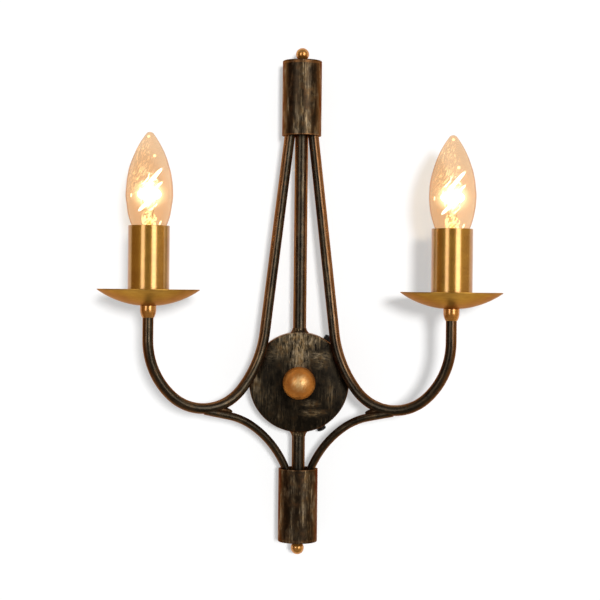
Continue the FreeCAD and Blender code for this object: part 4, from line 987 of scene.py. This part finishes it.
def stageItem(name, bm, material):
    mesh = bpy.data.meshes.new(name)
    bmesh.ops.scale(bm, verts=bm.verts, vec=(mm, mm, mm))
    bm.to_mesh(mesh)
    bm.free()
    mesh.materials.append(material)
    item = bpy.data.objects.new(name, mesh)
    bpy.context.scene.collection.objects.link(item)
    return item


def plainGlow(name, hexColour):
    # a card, curtain or backdrop that shows its own colour, whatever light falls on it
    material, tree = startMaterial(name)
    light = addNode(tree, "Emission", {"Color": linear(hexColour), "Strength": 1.0})
    addNode(tree, "OutputMaterial", {"Surface": light})
    return material


def onlyFor(item, camera=False, glossy=False):
    # a card that only the camera or only reflections see
    item.visible_camera = camera
    item.visible_transmission = camera
    item.visible_glossy = glossy
    item.visible_diffuse = False
    item.visible_shadow = False


def ownWhite(tree, path, share):
    # a share of white of its own, for what the camera sees, and metal and glass with it
    seen = addNode(tree, "Math", {0: path.outputs["Is Camera Ray"], 1: path.outputs["Is Glossy Ray"]},
                   operation="MAXIMUM")
    seen = addNode(tree, "Math", {0: seen, 1: path.outputs["Is Transmission Ray"]}, operation="MAXIMUM")
    return addNode(tree, "Math", {0: seen, 1: share}, operation="MULTIPLY")


def makeWall():
    # white wall: seen from behind, or by soft light, it isn't there, so that the back of the canopy is lit
    material, tree = startMaterial("whiteWall")
    paint = addNode(tree, "BsdfPrincipled", {"Base Color": linear("#fcfcfc"), "Roughness": 1.0,
                                             "Specular IOR Level": 0.0})
    path = addNode(tree, "LightPath")
    light = addNode(tree, "Emission", {"Color": linear("#ffffff"), "Strength": 1.0})
    front = addNode(tree, "MixShader", {0: ownWhite(tree, path, stage["wallShare"]), 1: paint, 2: light})
    behind = addNode(tree, "NewGeometry").outputs["Backfacing"]
    absent = addNode(tree, "Math", {0: behind, 1: path.outputs["Is Diffuse Ray"]}, operation="MAXIMUM")
    absent = addNode(tree, "Math", {0: absent, 1: path.outputs["Is Shadow Ray"]}, operation="MAXIMUM")
    clear = addNode(tree, "BsdfTransparent")
    whole = addNode(tree, "MixShader", {0: absent, 1: front, 2: clear})
    addNode(tree, "OutputMaterial", {"Surface": whole})
    bm = bmesh.new()
    turn = Matrix.Translation((0, stage["wallGap"], 0)) @ Matrix.Rotation(radians(90), 4, "X")
    bmesh.ops.create_grid(bm, x_segments=1, y_segments=1, size=stage["wallHalf"], matrix=turn)
    stageItem("wall", bm, material)


def makeFloorAndBackdrop():
    # the floor keeps part of its white in the shade as well
    material, tree = startMaterial("paleFloor")
    paint = addNode(tree, "BsdfPrincipled", {"Base Color": linear("#e5e5e3"), "Roughness": 0.9})
    light = addNode(tree, "Emission", {"Color": linear("#efefef"), "Strength": 1.0})
    share = ownWhite(tree, addNode(tree, "LightPath"), stage["floorShare"])
    whole = addNode(tree, "MixShader", {0: share, 1: paint, 2: light})
    addNode(tree, "OutputMaterial", {"Surface": whole})
    bm = bmesh.new()
    bmesh.ops.create_grid(bm, x_segments=1, y_segments=1, size=stage["floorReach"],
                          matrix=Matrix.Translation((0, 0, -stage["floorDrop"])))
    stageItem("floor", bm, material)
    bm = bmesh.new()
    bmesh.ops.create_uvsphere(bm, u_segments=48, v_segments=24, radius=stage["backdropRadius"])
    onlyFor(stageItem("backdrop", bm, plainGlow("paleBackdrop", "#f1f1f1")), camera=True)


def makeFlags():
    # a dim curtain round the camera's side and a card at each side, seen only in the metal
    bm = bmesh.new()
    height = stage["curtainTop"] + stage["floorDrop"]
    middle = Matrix.Translation((0, 0, stage["curtainTop"] - height / 2))
    bmesh.ops.create_cone(bm, segments=72, radius1=stage["curtainRadius"], radius2=stage["curtainRadius"],
                          depth=height, matrix=middle)
    swing = radians(stage["curtainOpen"])
    for normal in ((0, 1, 0), (sin(swing), cos(swing), 0)):
        bmesh.ops.bisect_plane(bm, geom=bm.verts[:] + bm.edges[:] + bm.faces[:], plane_co=(0, 0, 0),
                               plane_no=normal, clear_outer=True)
    onlyFor(stageItem("frontCurtain", bm, plainGlow("dimCurtain", "#5d5952")), glossy=True)
    # a lower card hides the bright floor from the pans' undersides
    bm = bmesh.new()
    low = Matrix.Translation((0, 0, stage["lowCardRise"] - stage["floorDrop"]))
    bmesh.ops.create_circle(bm, cap_ends=True, segments=48, radius=stage["curtainRadius"], matrix=low)
    onlyFor(stageItem("lowCard", bm, plainGlow("lowCardTone", "#8e816f")), glossy=True)
    for name, (x, hexColour) in stage["sideCards"].items():
        bm = bmesh.new()
        turn = Matrix.Translation((x, *stage["sideCardPlace"])) @ Matrix.Rotation(radians(90), 4, "Y")
        bmesh.ops.create_grid(bm, x_segments=1, y_segments=1, size=1.0)
        bmesh.ops.scale(bm, verts=bm.verts, vec=(*stage["sideCardHalf"], 1))
        bmesh.ops.transform(bm, matrix=turn, verts=bm.verts)
        onlyFor(stageItem(name, bm, plainGlow(name + "Tone", hexColour)), glossy=True)


light = {
    # soft boxes: (name, place, width, height, brightness), metres, standing upright
    "boxes": [
        ("leftBox", (-0.92, -1.63, 0.55), 0.60, 1.45, 3.0),
        ("rightBox", (0.95, -1.60, 0.58), 0.80, 1.45, 4.4),
    ],
    "key": 2.55,               # sun, for the soft shadow on the wall
    "keyAngle": 8.5,
    "keyWay": (-0.155, 1.0, -0.11),
    "around": 0.3,             # even light from everywhere
}


def makeLight():
    for name, spot, width, height, brightness in light["boxes"]:
        data = bpy.data.lights.new(name, "AREA")
        data.shape = "RECTANGLE"
        data.size = width
        data.size_y = height
        data.energy = brightness * pi * width * height
        item = bpy.data.objects.new(name, data)
        bpy.context.scene.collection.objects.link(item)
        level = Vector((-spot[0], -spot[1], 0))
        item.matrix_world = Matrix.Translation(spot) @ level.to_track_quat("-Z", "Y").to_matrix().to_4x4()
        item.visible_camera = False
        item.visible_diffuse = False
    data = bpy.data.lights.new("key", "SUN")
    data.energy = light["key"]
    data.angle = radians(light["keyAngle"])
    key = bpy.data.objects.new("key", data)
    bpy.context.scene.collection.objects.link(key)
    key.matrix_world = Vector(light["keyWay"]).to_track_quat("-Z", "Y").to_matrix().to_4x4()
    key.visible_glossy = False
    world = bpy.data.worlds.new("studio")
    bpy.context.scene.world = world
    world.use_nodes = True
    world.node_tree.nodes["Background"].inputs["Color"].default_value = (1.0, 1.0, 1.0, 1.0)
    world.node_tree.nodes["Background"].inputs["Strength"].default_value = light["around"]
    bpy.context.scene.view_settings.view_transform = "Standard"


makeWall()
makeFloorAndBackdrop()
makeFlags()
makeLight()
print("stage and light made")
